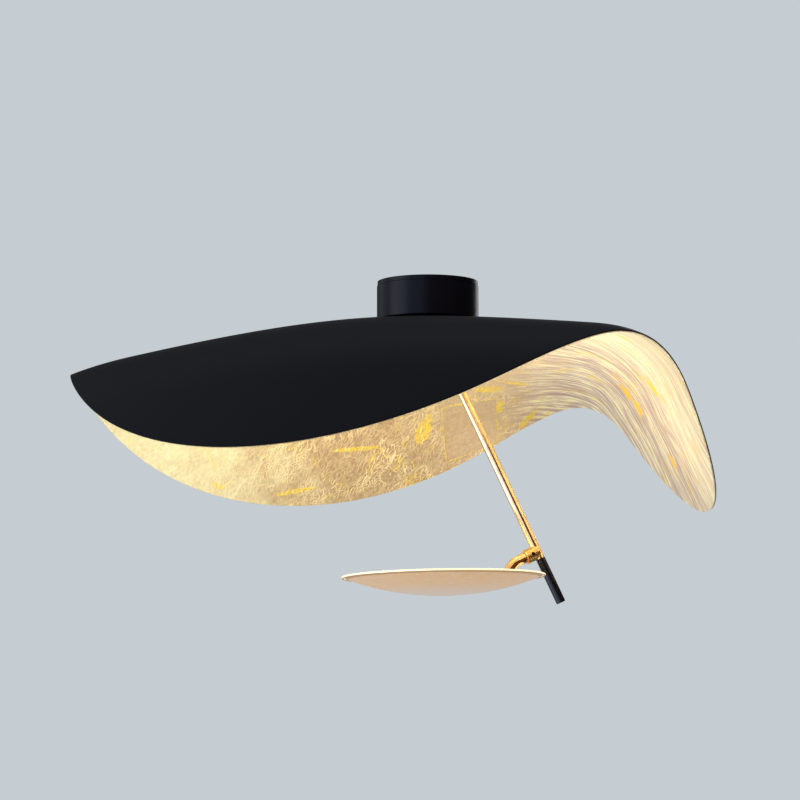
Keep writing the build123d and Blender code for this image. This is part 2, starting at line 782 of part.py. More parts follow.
def post_places():
    """Centres of the posts that hold the LED carrier above the dish's floor."""
    places = []
    circle = carrier_radius - post_inset
    for index in range(post_count):
        turn = radians(360 / post_count * (index + 0.5))
        places.append((dish_centre_x + circle * cos(turn), circle * sin(turn)))
    return places


def carrier_posts():
    """The posts between the dish's floor and the LED carrier."""
    posts = []
    for x, y in post_places():
        post = rod(post_radius, dish_rim - dish_depth, carrier_bottom, x, y)
        post &= Pos(*sphere_centre) * Sphere(dish_inner_sphere)
        post -= rod(small_screw_radius + screw_gap, carrier_bottom - post_screw_reach - 0.2,
                    carrier_bottom + 1, x, y)
        posts.append(disc_frame * post)
    return posts


def led_carrier():
    """The aluminium disc that takes the LED board's heat."""
    body = rod(carrier_radius, carrier_bottom, carrier_top, dish_centre_x)
    body = chamfer(body.edges().filter_by(GeomType.CIRCLE).group_by(Axis.Z)[0], 0.5)
    for x, y in post_places():
        body -= rod(small_screw_radius + screw_gap, carrier_bottom - 1, carrier_top + 1, x, y)
    return disc_frame * body


def led_board():
    """The round LED board, with holes for the carrier's screws."""
    body = rod(board_radius, carrier_top, board_top, dish_centre_x)
    for x, y in post_places():
        body -= rod(small_screw_radius + screw_gap, carrier_top - 1, board_top + 1, x, y)
    return disc_frame * body


def carrier_screws():
    """The screws that clamp board and carrier to the posts."""
    end = carrier_bottom - post_screw_reach
    return [disc_frame * pan_screw(x, y, board_top, end) for x, y in post_places()]


def led_chips():
    """The LEDs, in three rings on the board."""
    chips = []
    for row in range(1, chip_row_count + 1):
        count = row * chip_step_count
        for index in range(count):
            turn = 360 / count * (index + 0.5)
            place = Pos(dish_centre_x, 0, board_top + chip_height / 2) * Rot(0, 0, turn)
            chip = place * Pos(row * chip_row_pitch, 0, 0) * Box(chip_size, chip_size, chip_height)
            chips.append(disc_frame * chip)
    return chips


def diffuser():
    """The opal cover over the LED board."""
    top = carrier_top + diffuser_height
    body = rod(carrier_radius, carrier_top, top, dish_centre_x)
    body = fillet(body.edges().filter_by(GeomType.CIRCLE).group_by(Axis.Z)[-1], diffuser_edge)
    body -= rod(carrier_radius - diffuser_wall, carrier_top - 1, top - diffuser_wall, dish_centre_x)
    return disc_frame * body


def diffuser_ring():
    """The ring round diffuser and carrier."""
    top = carrier_top + diffuser_height - diffuser_ring_drop
    low = top - diffuser_ring_height
    inner = carrier_radius + diffuser_ring_gap
    body = tube(diffuser_ring_radius, inner, low, top, dish_centre_x)
    body = fillet(body.edges().filter_by(GeomType.CIRCLE).group_by(Axis.Z)[-1], diffuser_ring_wall / 3)
    return disc_frame * body


def save(name, shape):
    """Write one node's solids to its own file."""
    solids = shape if isinstance(shape, list) else [shape]
    parts = [solid for item in solids for solid in item.solids()]
    result = Compound(children=parts) if len(parts) > 1 else parts[0]
    export_step(result, os.path.join("parts", name + ".step"))


def main():
    """Build every node and write it out."""
    os.makedirs("parts", exist_ok=True)
    nipple_hole = nipple_radius + screw_gap
    nodes = {
        "mounting_plate": mounting_plate(),
        "canopy_cover": canopy_cover(),
        "canopy_grub_screws": canopy_grub_screws(),
        "led_driver": led_driver(),
        "driver_screws": driver_screws(),
        "terminal_block": terminal_block(),
        "terminal_screws": terminal_screws(),
        "supply_leads": supply_leads(),
        "output_leads": output_leads(),
        "earth_screw": earth_screw(),
        "earth_lead": earth_lead(),
        "threaded_nipple": threaded_nipple(),
        "upper_lock_nut": hex_nut(nut_flats, nipple_hole, floor_top, floor_top + upper_nut_height),
        "shade_spacer": washer(spacer_radius, spacer_thickness - seat_gap, -canopy_height),
        "shade_shell": sheet_layer(0.0, sheet_thickness),
        "gold_leaf_lining": sheet_layer(sheet_thickness, sheet_thickness + leaf_thickness),
        "clamp_washer": washer(clamp_washer_radius, clamp_washer_thickness, clamp_washer_top),
        "shade_lock_nut": hex_nut(nut_flats, nipple_hole, shade_nut_bottom, clamp_washer_bottom),
        "friction_washer": washer(friction_washer_radius, friction_washer_thickness, shade_nut_bottom),
        "spring_washer": washer(nut_corner, spring_washer_thickness, spring_washer_top),
        "swivel_nut": hex_nut(nut_flats, nipple_hole, swivel_nut_bottom, swivel_nut_top),
        "swivel_base": swivel_base(),
        "knuckle_pin": knuckle_pin(),
        "knuckle_nut": knuckle_nut(),
        "knuckle_washers": knuckle_washers(),
        "stem_knuckle": stem_knuckle(),
        "stem_tube": stem_tube(),
        "stem_lead": stem_lead(),
        "handle": handle(),
        "handle_stud": handle_stud(),
        "tee_hub": tee_hub(),
        "hub_grub_screw": hub_grub_screw(),
        "elbow": elbow(),
        "elbow_lead": elbow_lead(),
        "dish": dish(),
        "dish_boss": dish_boss(),
        "boss_screw": boss_screw(),
        "carrier_posts": carrier_posts(),
        "led_carrier": led_carrier(),
        "led_board": led_board(),
        "led_chips": led_chips(),
        "carrier_screws": carrier_screws(),
        "diffuser": diffuser(),
        "diffuser_ring": diffuser_ring(),
    }
    for name, shape in nodes.items():
        save(name, shape)
    print("hub axis", tuple(round(value, 4) for value in hub_direction))
    print("hub centre", tuple(round(value, 3) for value in hub_centre))
    print("knuckle", round(knuckle_x, 3), round(knuckle_height, 3))
    print("nodes", len(nodes))


main()
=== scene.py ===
"""A ceiling light: a bent black shade lined with gold leaf, and a lit dish on a leaning stem.

Sizes are in millimetres in the classes' fields and become metres where meshes are made. The
origin is on the ceiling, on the canopy's axis, with X to the viewer's right and Z up.
"""

import logging
import math
from dataclasses import dataclass, field
from enum import Enum
from typing import Sequence

import bpy
import numpy as np
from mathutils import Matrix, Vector, noise


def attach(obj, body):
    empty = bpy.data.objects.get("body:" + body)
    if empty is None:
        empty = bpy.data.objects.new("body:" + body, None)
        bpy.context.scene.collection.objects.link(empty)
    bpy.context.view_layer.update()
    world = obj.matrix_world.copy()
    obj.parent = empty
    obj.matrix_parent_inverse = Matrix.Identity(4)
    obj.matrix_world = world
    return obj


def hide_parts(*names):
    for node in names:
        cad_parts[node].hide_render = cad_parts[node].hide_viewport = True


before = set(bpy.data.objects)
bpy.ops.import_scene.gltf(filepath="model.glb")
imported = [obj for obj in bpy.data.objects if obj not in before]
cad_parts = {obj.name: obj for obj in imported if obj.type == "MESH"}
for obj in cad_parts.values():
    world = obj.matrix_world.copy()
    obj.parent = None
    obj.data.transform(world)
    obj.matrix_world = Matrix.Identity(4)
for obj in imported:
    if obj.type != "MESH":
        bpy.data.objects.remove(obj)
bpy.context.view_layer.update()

log = logging.getLogger("ceiling_light")

Triple = tuple[float, float, float]
MM = 0.001
SHARP_EDGE = math.radians(40.0)
LED_RING_PITCH = 13.0

SHADE_AXIS: Triple = (0.0, 0.0, 1.0)
STEM_TOP: Triple = (13.989, 0.0, -62.0)
STEM_LEAN = math.radians(25.0)
STEM_AXIS: Triple = (math.sin(STEM_LEAN), 0.0, -math.cos(STEM_LEAN))
HUB_CENTRE: Triple = (91.54, 0.0, -228.307)
HUB_AXIS: Triple = (-0.8517, -0.342, -0.3971)
EARTH_SCREW_PLACE: Triple = (0.0, -33.8, 0.0)
BOSS_PLACE: Triple = (66.5, -11.0, -255.0)
DISH_CENTRE: Triple = (12.3, -31.11, -249.22)
DISH_AXIS: Triple = (-0.0155, 0.0387, 0.9991)


class Value:
    """One socket of a finish's nodes, whose operators add the maths nodes that they stand for."""

    def __init__(self, nodes: "Nodes", socket: bpy.types.NodeSocket) -> None:
        """Wrap a socket of a node tree."""
        self.nodes = nodes
        self.socket = socket

    def __add__(self, other: "Number") -> "Value":
        """Sum of two values."""
        return self.nodes.maths("ADD", self, other)

    def __radd__(self, other: "Number") -> "Value":
        """Sum of a plain number and a value."""
        return self.nodes.maths("ADD", other, self)

    def __sub__(self, other: "Number") -> "Value":
        """Difference of two values."""
        return self.nodes.maths("SUBTRACT", self, other)

    def __rsub__(self, other: "Number") -> "Value":
        """Difference of a plain number and a value."""
        return self.nodes.maths("SUBTRACT", other, self)

    def __mul__(self, other: "Number") -> "Value":
        """Product of two values."""
        return self.nodes.maths("MULTIPLY", self, other)

    def __rmul__(self, other: "Number") -> "Value":
        """Product of a plain number and a value."""
        return self.nodes.maths("MULTIPLY", other, self)

    def __truediv__(self, other: "Number") -> "Value":
        """Quotient of two values."""
        return self.nodes.maths("DIVIDE", self, other)

    def __pow__(self, other: "Number") -> "Value":
        """A value raised to a power."""
        return self.nodes.maths("POWER", self, other)

    def __abs__(self) -> "Value":
        """Size of a value without its sign."""
        return self.nodes.maths("ABSOLUTE", self)

    def part(self, axis: str) -> "Value":
        """One component of a vector, "X", "Y" or "Z"."""
        return self.nodes.node("ShaderNodeSeparateXYZ", {}, {"Vector": self}, axis)

    def beside(self, output: str) -> "Value":
        """Another output of the same node."""
        return Value(self.nodes, self.socket.node.outputs[output])


Number = float | Value


class Nodes:
    """A node tree that is written as expressions."""

    def __init__(self, tree: bpy.types.NodeTree) -> None:
        """Start an empty tree."""
        self.tree = tree
        self.tree.nodes.clear()

    def feed(self, socket: bpy.types.NodeSocket, value: object) -> None:
        """Link a value to a socket, or set the socket to a plain number, colour or vector.

        Args:
            socket: The socket that takes the value.
            value: A Value, a number, or three numbers.
        """
        if isinstance(value, Value):
            self.tree.links.new(value.socket, socket)
        elif socket.type == "RGBA":
            socket.default_value = (*value, 1.0)
        else:
            socket.default_value = value

    def node(self, kind: str, settings: dict[str, object] | None = None,
             values: dict[str | int, object] | None = None, output: str | int = 0) -> Value:
        """Add one node of any type.

        Args:
            kind: The node's type name.
            settings: Attributes of the node, set first.
            values: What each input takes, by its name or number.
            output: Name or number of the output to use.

        Returns:
            The chosen output.
        """
        node = self.tree.nodes.new(kind)
        for name, setting in (settings or {}).items():
            setattr(node, name, setting)
        for name, value in (values or {}).items():
            self.feed(node.inputs[name], value)
        return Value(self, node.outputs[output])

    def node_out(self, kind: str, shader: Value) -> None:
        """Add the tree's output and link a shader to its surface."""
        output = self.tree.nodes.new(kind)
        self.tree.links.new(shader.socket, output.inputs["Surface"])

    def maths(self, operation: str, *values: Number) -> Value:
        """Add a Math node on one to three numbers or values."""
        return self.node("ShaderNodeMath", {"operation": operation}, dict(enumerate(values)))

    def vector(self, operation: str, *values: object, output: str | int = 0) -> Value:
        """Add a Vector Math node on one to three vectors."""
        settings = {"operation": operation}
        return self.node("ShaderNodeVectorMath", settings, dict(enumerate(values)), output)

    def enlarged(self, vector: Value | Triple, factor: Number) -> Value:
        """Scale a vector as a whole."""
        settings = {"operation": "SCALE"}
        return self.node("ShaderNodeVectorMath", settings, {0: vector, "Scale": factor})

    def stretched(self, vector: Value, factors: Triple) -> Value:
        """Scale a vector along each axis by its own factor."""
        return self.vector("MULTIPLY", vector, factors)

    def turned(self, vector: Value, degrees: float) -> Value:
        """Turn a vector about Z."""
        values = {"Vector": vector, "Angle": math.radians(degrees)}
        return self.node("ShaderNodeVectorRotate", {"rotation_type": "Z_AXIS"}, values)

    def mixed(self, share: Number, low: object, high: object) -> Value:
        """Mix two colours.

        Args:
            share: How much of the second colour, from 0 to 1.
            low: The first colour.
            high: The second colour.

        Returns:
            The mixed colour.
        """
        settings = {"data_type": "RGBA", "clamp_factor": True}
        return self.node("ShaderNodeMix", settings, {0: share, 6: low, 7: high}, 2)

    def mixed_value(self, share: Number, low: Number, high: Number) -> Value:
        """Mix two values; the share is how much of the second there is."""
        settings = {"data_type": "FLOAT", "clamp_factor": True}
        return self.node("ShaderNodeMix", settings, {0: share, 2: low, 3: high}, 0)

    def step(self, value: Value, low: float, high: float) -> Value:
        """Rise smoothly from 0 to 1 as a value goes from one number to another.

        Args:
            value: The value.
            low: Where the rise starts.
            high: Where it ends, which may be the smaller number.

        Returns:
            The risen value.
        """
        settings = {"interpolation_type": "SMOOTHSTEP"}
        if low < high:
            return self.node("ShaderNodeMapRange", settings,
                             {"Value": value, "From Min": low, "From Max": high})
        return 1.0 - self.node("ShaderNodeMapRange", settings,
                               {"Value": value, "From Min": high, "From Max": low})

    def spread(self, value: Value, low: float, high: float) -> Value:
        """Spread a value that runs from 0 to 1 over another range, with clamped ends."""
        return self.node("ShaderNodeMapRange", {}, {"Value": value, "To Min": low, "To Max": high})


class Shader(Nodes):
    """The node tree of one finish, round a single metal-and-lacquer surface shader."""

    def __init__(self, name: str) -> None:
        """Make a material with its surface shader.

        Args:
            name: Name of the material.
        """
        self.material = bpy.data.materials.new(name)
        self.material.use_nodes = True
        super().__init__(self.material.node_tree)
        self.surface = self.tree.nodes.new("ShaderNodeBsdfPrincipled")
        output = self.tree.nodes.new("ShaderNodeOutputMaterial")
        self.tree.links.new(self.surface.outputs["BSDF"], output.inputs["Surface"])

    def place(self) -> Value:
        """Position on the piece as it was built, in millimetres."""
        return self.enlarged(self.node("ShaderNodeTexCoord", output="Object"), 1000.0)

    def grain(self, where: Value, pitch: float, detail: float = 3.0, twist: float = 0.0,
              output: str = "Fac") -> Value:
        """Soft random variation.

        Args:
            where: Position in millimetres.
            pitch: Size of the variation in millimetres.
            detail: How many finer octaves it has.
            twist: How much it is distorted.
            output: "Fac" for a value, "Color" for three at once.

        Returns:
            A value around 0.5.
        """
        values = {"Vector": where, "Scale": 1.0 / pitch, "Detail": detail, "Distortion": twist}
        return self.node("ShaderNodeTexNoise", {}, values, output)

    def crests(self, where: Value, pitch: float, sharpness: float, detail: float = 2.0,
               twist: float = 0.0) -> Value:
        """Thin wandering crests, as in crumpled foil.

        Args:
            where: Position in millimetres.
            pitch: Distance between crests in millimetres.
            sharpness: How thin the crests are.
            detail: How many finer octaves they have.
            twist: How much they are distorted.

        Returns:
            A value that is 1 on a crest and falls towards 0 between them.
        """
        soft = self.grain(where, pitch, detail, twist)
        return self.maths("MAXIMUM", 1.0 - abs(soft * 2.0 - 1.0) * 2.0, 0.0) ** sharpness

    def cells(self, where: Value, pitch: float, feature: str = "F1",
              output: str = "Distance") -> Value:
        """Cells round random points.

        Args:
            where: Position in millimetres.
            pitch: Size of a cell in millimetres.
            feature: Which distance is measured.
            output: Which output is used.

        Returns:
            The chosen output.
        """
        values = {"Vector": where, "Scale": 1.0 / pitch}
        return self.node("ShaderNodeTexVoronoi", {"feature": feature}, values, output)

    def about(self, where: Value, origin: Triple, axis: Triple) -> tuple[Value, Value]:
        """Measure a position along an axis and away from it.

        Args:
            where: Position in millimetres.
            origin: A point on the axis.
            axis: Direction of the axis.

        Returns:
            The distance from the origin along the axis, and the distance from the axis.
        """
        arm = self.vector("SUBTRACT", where, origin)
        along = self.vector("DOT_PRODUCT", arm, axis, output="Value")
        away = self.vector("LENGTH", self.vector("CROSS_PRODUCT", arm, axis), output="Value")
        return along, away

    def bump(self, height: Value, rise: float, under: Value | None = None) -> Value:
        """Turn a height into a normal.

        Args:
            height: Height, where 1 is the full rise.
            rise: The full rise in millimetres.
            under: A normal from a coarser bump underneath.

        Returns:
            The bent normal.
        """
        values = {"Height": height, "Distance": rise * MM}
        if under is not None:
            values["Normal"] = under
        return self.node("ShaderNodeBump", {}, values)

    def finish(self, **values: object) -> None:
        """Feed the surface shader's sockets.

        Args:
            values: What each socket takes; an underscore stands for a space in its name.
        """
        for name, value in values.items():
            self.feed(self.surface.inputs[name.replace("_", " ")], value)


@dataclass(frozen=True)
class Finish:
    """A finish of the light, named after its slot."""

    slot: str

    def paint(self, shader: Shader) -> None:
        """Add the finish's own nodes to its shader."""
        raise NotImplementedError

    def material(self) -> bpy.types.Material:
        """Return the finish's material, made at its first use.

        Returns:
            The material, which equal finishes share.
        """
        if self not in made_finishes:
            shader = Shader(f"{self.slot}.finish")
            self.paint(shader)
            made_finishes[self] = shader.material
        return made_finishes[self]


made_finishes: dict[Finish, bpy.types.Material] = {}


@dataclass(frozen=True)
class BlackLacquer(Finish):
    """Satin black lacquer with a breath of blue, sprayed on metal."""

    colour: Triple = (0.0036, 0.0036, 0.0052)
    roughness: float = 0.40
    gloss: float = 0.05
    peel_pitch: float = 1.4
    peel_rise: float = 0.010
    sheen: Triple = (0.74, 0.80, 1.0)
    dust_colour: Triple = (0.25, 0.25, 0.26)
    dust_share: float = 0.03

    def paint(self, shader: Shader) -> None:
        """Vary tone and gloss a little and add orange peel."""
        where = shader.place()
        peel = shader.grain(where, self.peel_pitch, 1.0)
        cloud = shader.grain(where, 70.0, 2.0)
        dust = shader.step(shader.grain(where, 0.7, 0.0), 0.74, 0.8)
        lighter = tuple(channel * 1.35 for channel in self.colour)
        colour = shader.mixed(cloud, self.colour, lighter)
        colour = shader.mixed(dust * self.dust_share, colour, self.dust_colour)
        roughness = self.roughness + cloud * 0.06 + peel * 0.04 - 0.05
        shader.finish(
            Base_Color=colour,
            Roughness=roughness,
            Specular_IOR_Level=self.gloss,
            Specular_Tint=self.sheen,
            Normal=shader.bump(peel, self.peel_rise),
        )


@dataclass(frozen=True)
class Mark:
    """One place where the leaf tore or gathered, on the flat sheet."""

    x: float
    y: float
    length: float
    width: float
    turn: float = 0.0
    fray: float = 1.6

    def mask(self, shader: Shader, flat: Value, ragged: Value) -> Value:
        """Show the mark as a ragged oval.

        Args:
            shader: The finish's shader.
            flat: Position on the flat sheet in millimetres.
            ragged: Random variation that frays the oval's edge.

        Returns:
            A value that is 1 inside the mark.
        """
        arm = shader.turned(shader.vector("SUBTRACT", flat, (self.x, self.y, 0.0)), -self.turn)
        oval = shader.stretched(arm, (2.0 / self.length, 2.0 / self.width, 0.0))
        reach = shader.vector("LENGTH", oval, output="Value")
        return shader.step(reach + (ragged - 0.5) * self.fray, 1.0, 0.75)


@dataclass(frozen=True)
class Strokes:
    """One layer of short strokes in the crumpled leaf, in millimetres and degrees."""

    pitch: float
    width: float
    turn: float
    cloud: float


@dataclass(frozen=True)
class GoldLeaf(Finish):
    """Square sheets of metal leaf laid by hand, crumpled, brushed and varnished."""

    leaf_size: float = 80.0
    leaf_turn: float = 12.0
    seam_width: float = 1.0
    wing_start: float = 55.0
    wing_full: float = 135.0
    painted_light_left_from: float = -98.0
    painted_light_left_full: float = -250.0
    painted_light_centre_from: float = 185.0
    painted_light_centre_full: float = 70.0
    painted_highlight_front_from: float = 30.0
    painted_highlight_front_full: float = -90.0
    painted_light_right_from: float = -30.0
    painted_light_right_full: float = 50.0
    painted_light_centre_share: float = 0.2
    painted_highlight_front_share: float = 0.36
    seam_share: float = 0.35
    outline_share: float = 0.6
    gathered_share: float = 0.45
    metal: float = 0.5
    dent_rise: float = 0.4
    fold_rise: float = 0.16
    grit_rise: float = 0.02
    fan: float = 1.3
    strokes: tuple[Strokes, ...] = (
        Strokes(3.6, 1.0, 62.0, 13.0),
        Strokes(5.4, 1.1, 50.0, 19.0),
        Strokes(2.8, 0.9, 20.0, 24.0),
    )
    # pale: colour of the painted light at the leaf's left end and round its centre
    pale: Triple = (0.87, 0.83, 0.51)
    beige: Triple = (0.40, 0.265, 0.135)
    painted_lit_beige: Triple = (0.60, 0.43, 0.26)
    rosy: Triple = (0.41, 0.252, 0.262)
    # golden and cream serve as painted highlights on the folds; cream also on the wing's front and as a
    # random tone from leaf to leaf, golden also in the grain
    golden: Triple = (0.98, 0.80, 0.42)
    cream: Triple = (0.99, 0.89, 0.55)
    yellow: Triple = (1.0, 0.72, 0.01)
    amber: Triple = (1.0, 0.60, 0.0)
    torn: tuple[Mark, ...] = (
        Mark(154.0, -126.0, 18.0, 12.0, -20.0),
        Mark(186.0, 102.0, 19.0, 24.0, 10.0),
        Mark(202.0, 94.0, 15.0, 24.0),
        Mark(201.0, -28.0, 28.0, 12.0, -61.0),
        Mark(211.0, -52.0, 12.0, 6.0, -61.0),
        Mark(190.0, -8.0, 12.0, 5.0, -61.0),
        Mark(254.0, 56.0, 14.0, 18.0),
        Mark(255.0, -14.0, 8.0, 8.0),
        Mark(172.0, 88.0, 13.0, 6.0),
        Mark(-150.0, -120.0, 12.0, 5.0, 40.0),
        Mark(60.0, -190.0, 10.0, 4.0, -30.0),
    )
    gathered: tuple[Mark, ...] = (
        Mark(-7.0, 247.0, 34.0, 17.0, 118.0),
        Mark(60.0, 215.0, 30.0, 13.0, 10.0),
        Mark(70.0, 248.0, 22.0, 8.0, 98.0),
        Mark(25.0, 231.0, 28.0, 5.0, 3.0),
        Mark(98.0, 273.0, 32.0, 8.0, -49.0),
        Mark(-76.0, 236.0, 54.0, 5.0, 22.0),
        Mark(-142.0, 248.0, 44.0, 5.0, 18.0),
        Mark(84.0, 204.0, 30.0, 8.0, 20.0),
        Mark(-209.0, 203.0, 15.0, 6.0, 60.0),
        Mark(-90.0, -60.0, 40.0, 9.0, 30.0),
        Mark(20.0, -120.0, 36.0, 8.0, -50.0),
        Mark(-30.0, 110.0, 30.0, 10.0, 70.0),
    )
    patch: Mark = Mark(39.0, 262.0, 54.0, 60.0, 3.0)

    def paint(self, shader: Shader) -> None:
        """Lay the leaf on the sheet as it was flat, so that its marks follow the bends."""
        flat = shader.node("ShaderNodeAttribute", {"attribute_name": "flat"}, output="Vector")
        wing = shader.step(flat.part("X"), self.wing_start, self.wing_full)
        # mask of the wing's front half, which gets a painted highlight
        front = shader.step(flat.part("Y"), self.painted_highlight_front_from, self.painted_highlight_front_full) * wing
        ragged = shader.grain(flat, 3.2, 3.0, 0.5)
        patch, outline = self.patched(shader, flat)
        strands = shader.step(shader.crests(shader.turned(flat, 30.0), 3.4, 1.0), 0.25, 0.6)
        gathered = self.any_of(shader, flat, ragged, self.gathered) * (1.0 - patch)
        gathered = gathered * (0.35 + strands * 0.65)
        torn = self.any_of(shader, flat, ragged, self.torn)
        folds = self.crumple(shader, flat) * (1.0 - patch * 0.85)
        bundle = self.needles(shader, flat, 6.5, 1.8, 62.0, 0.8) * gathered
        crumple = shader.maths("MAXIMUM", folds, bundle)
        streaks = shader.maths("MAXIMUM", self.streaks(shader, flat), crumple * 0.35)
        relief = shader.mixed_value(wing, crumple, streaks)
        seam, tone = self.leaves(shader, flat)
        gilt = shader.step(shader.grain(flat, 22.0, 3.0, 0.6), 0.56, 0.66) * (1.0 - patch) * 0.6
        gilt = shader.maths("MAXIMUM", gilt, gathered * (1.0 - shader.step(bundle, 0.5, 0.8) * 0.7))
        colour = self.ground(shader, flat, wing, front, tone)
        # painted highlight: where the leaf's folds, strokes and streaks rise, its colour turns golden,
        # cream on the wing and yellow in gilt patches, as if they caught the light
        crest = shader.mixed(wing, self.golden, self.cream)
        crest = shader.mixed(gilt, crest, self.yellow)
        colour = shader.mixed(gathered * self.gathered_share, colour, self.yellow)
        colour = shader.mixed(relief, colour, crest)
        colour = shader.mixed(seam * self.seam_share, colour, self.yellow)
        colour = shader.mixed(outline * self.outline_share, colour, self.yellow)
        colour = shader.mixed(torn, colour, self.amber)
        fine = shader.grain(flat, 0.9, 3.0)
        coarse = shader.grain(flat, 13.0, 2.0, 0.6)
        normal = shader.bump(coarse, self.dent_rise)
        normal = shader.bump(relief + seam * 0.4 + outline * 0.6, self.fold_rise, normal)
        normal = shader.bump(fine, self.grit_rise, normal)
        shader.finish(
            Base_Color=colour,
            Metallic=self.metal,
            Roughness=shader.spread(fine * 0.6 + (1.0 - relief) * 0.4, 0.32, 0.54),
            Normal=normal,
        )

    def ground(self, shader: Shader, flat: Value, wing: Value, front: Value, tone: Value) -> Value:
        """Colour of the leaf between its folds, with painted light: paler at the left end, round the
        centre and over the right half, and a painted highlight on the wing's front.

        Args:
            shader: The finish's shader.
            flat: Position on the flat sheet in millimetres.
            wing: A value that is 1 on the wing.
            front: A value that is 1 on the wing's front half, where a highlight is painted.
            tone: A value that differs from leaf to leaf.

        Returns:
            The colour.
        """
        cloud = (shader.grain(flat, 26.0, 4.0) - 0.5) * 170.0
        sand = shader.step(shader.grain(flat, 3.0, 4.0), 0.36, 0.66)
        # painted light: the leaf turns pale cream towards the left end, where it looks brightest in the
        # light
        pale = shader.step(flat.part("X") + cloud, self.painted_light_left_from, self.painted_light_left_full)
        radius = shader.vector("LENGTH", shader.stretched(flat, (1.0, 1.0, 0.0)), output="Value")
        # painted light: the leaf is also a little paler round the centre, right over the light
        middle = shader.step(radius + cloud * 0.4, self.painted_light_centre_from, self.painted_light_centre_full)
        pale = shader.maths("MAXIMUM", pale, middle * self.painted_light_centre_share)
        # painted light: the ground turns to a lighter beige over the right half, to make up for light
        # that falls off there
        right = shader.step(flat.part("X"), self.painted_light_right_from, self.painted_light_right_full)
        beige = shader.mixed(right, self.beige, self.painted_lit_beige)
        colour = shader.mixed(pale * (0.76 + sand * 0.24), beige, self.pale)
        colour = shader.mixed(sand * 0.16, colour, self.golden)
        colour = shader.mixed(wing, colour, self.rosy)
        # painted highlight: cream over the front half of the wing
        colour = shader.mixed(front * self.painted_highlight_front_share, colour, self.cream)
        return shader.mixed(tone * 0.10, colour, self.cream)

    def any_of(self, shader: Shader, flat: Value, ragged: Value, marks: Sequence[Mark]) -> Value:
        """Join the masks of several marks.

        Args:
            shader: The finish's shader.
            flat: Position on the flat sheet in millimetres.
            ragged: Random variation that frays their edges.
            marks: The marks.

        Returns:
            A value that is 1 inside any of them.
        """
        joined = marks[0].mask(shader, flat, ragged)
        for mark in marks[1:]:
            joined = shader.maths("MAXIMUM", joined, mark.mask(shader, flat, ragged))
        return joined

    def patched(self, shader: Shader, flat: Value) -> tuple[Value, Value]:
        """The one smooth leaf that was laid later over a gap.

        Args:
            shader: The finish's shader.
            flat: Position on the flat sheet in millimetres.

        Returns:
            A value that is 1 inside the leaf, and one that is 1 on its outline.
        """
        mark = self.patch
        arm = shader.vector("SUBTRACT", flat, (mark.x, mark.y, 0.0))
        arm = shader.vector("ABSOLUTE", shader.turned(arm, -mark.turn))
        aside = arm.part("X") - mark.length / 2
        ahead = arm.part("Y") - mark.width / 2
        edge = shader.maths("MAXIMUM", aside, ahead) + (shader.grain(flat, 5.0, 2.0) - 0.5) * 1.5
        broken = shader.step(shader.grain(flat, 4.0, 2.0), 0.44, 0.54)
        return shader.step(edge, 0.3, -0.3), shader.step(abs(edge), 0.8, 0.3) * broken

    def crumple(self, shader: Shader, flat: Value) -> Value:
        """Creases and short strokes in several directions.

        Args:
            shader: The finish's shader.
            flat: Position on the flat sheet in millimetres.

        Returns:
            A value that is 1 on a fold.
        """
        folds = self.creases(shader, flat, 13.0, 0.7) * 0.7
        for kind in self.strokes:
            layer = self.needles(shader, flat, kind.pitch, kind.width, kind.turn, self.fan)
            layer = layer * shader.step(shader.grain(flat, kind.cloud, 2.0), 0.42, 0.56)
            folds = shader.maths("MAXIMUM", folds, layer * 0.9)
        calm = shader.step(shader.grain(flat, 38.0, 2.0, 0.4), 0.44, 0.58)
        lively = shader.spread(shader.step(flat.part("X"), -240.0, -120.0), 0.5, 1.0)
        return folds * shader.spread(calm, 1.0, 0.45) * lively

    def needles(self, shader: Shader, flat: Value, pitch: float, width: float,
                turn: float, fan: float) -> Value:
        """Short straight strokes, one round each of many random points.

        Args:
            shader: The finish's shader.
            flat: Position on the flat sheet in millimetres.
            pitch: Distance between strokes in millimetres.
            width: Width of a stroke in millimetres.
            turn: Their middle direction in degrees.
            fan: How far their directions differ, in radians.

        Returns:
            A value that is 1 on a stroke.
        """
        settings = {"voronoi_dimensions": "2D", "feature": "F1"}
        values = {"Vector": flat, "Scale": 1.0 / pitch}
        point = shader.node("ShaderNodeTexVoronoi", settings, values, "Position")
        chance = point.beside("Color")
        angle = (chance.part("X") - 0.5) * fan + math.radians(turn)
        arm = shader.vector("SUBTRACT", flat, point)
        arm = shader.node("ShaderNodeVectorRotate", {"rotation_type": "Z_AXIS"},
                          {"Vector": arm, "Angle": angle})
        arm = shader.vector("ABSOLUTE", arm)
        across = shader.step(arm.part("Y"), width * 0.7, width * 0.35)
        along = shader.step(arm.part("X"), pitch * 1.1, pitch * 0.8)
        return across * along * (0.35 + chance.part("Y") * 0.65)

    def creases(self, shader: Shader, flat: Value, pitch: float, width: float) -> Value:
        """Straight broken creases between the flat facets of crumpled leaf.

        Args:
            shader: The finish's shader.
            flat: Position on the flat sheet in millimetres.
            pitch: Size of a facet in millimetres.
            width: Width of a crease in millimetres.

        Returns:
            A value that is 1 on a crease.
        """
        wobble = shader.grain(flat, pitch * 0.5, 1.0, 0.0, "Color")
        wobble = shader.vector("SUBTRACT", wobble, (0.5, 0.5, 0.5))
        bent = shader.vector("ADD", flat, shader.enlarged(wobble, pitch * 0.4))
        facets = shader.stretched(shader.turned(bent, 40.0), (0.6, 1.0, 1.0))
        edge = shader.cells(facets, pitch, "DISTANCE_TO_EDGE") * pitch
        broken = shader.step(shader.grain(flat, pitch * 0.6, 1.0), 0.42, 0.58)
        return shader.step(edge, width, width * 0.2) * broken

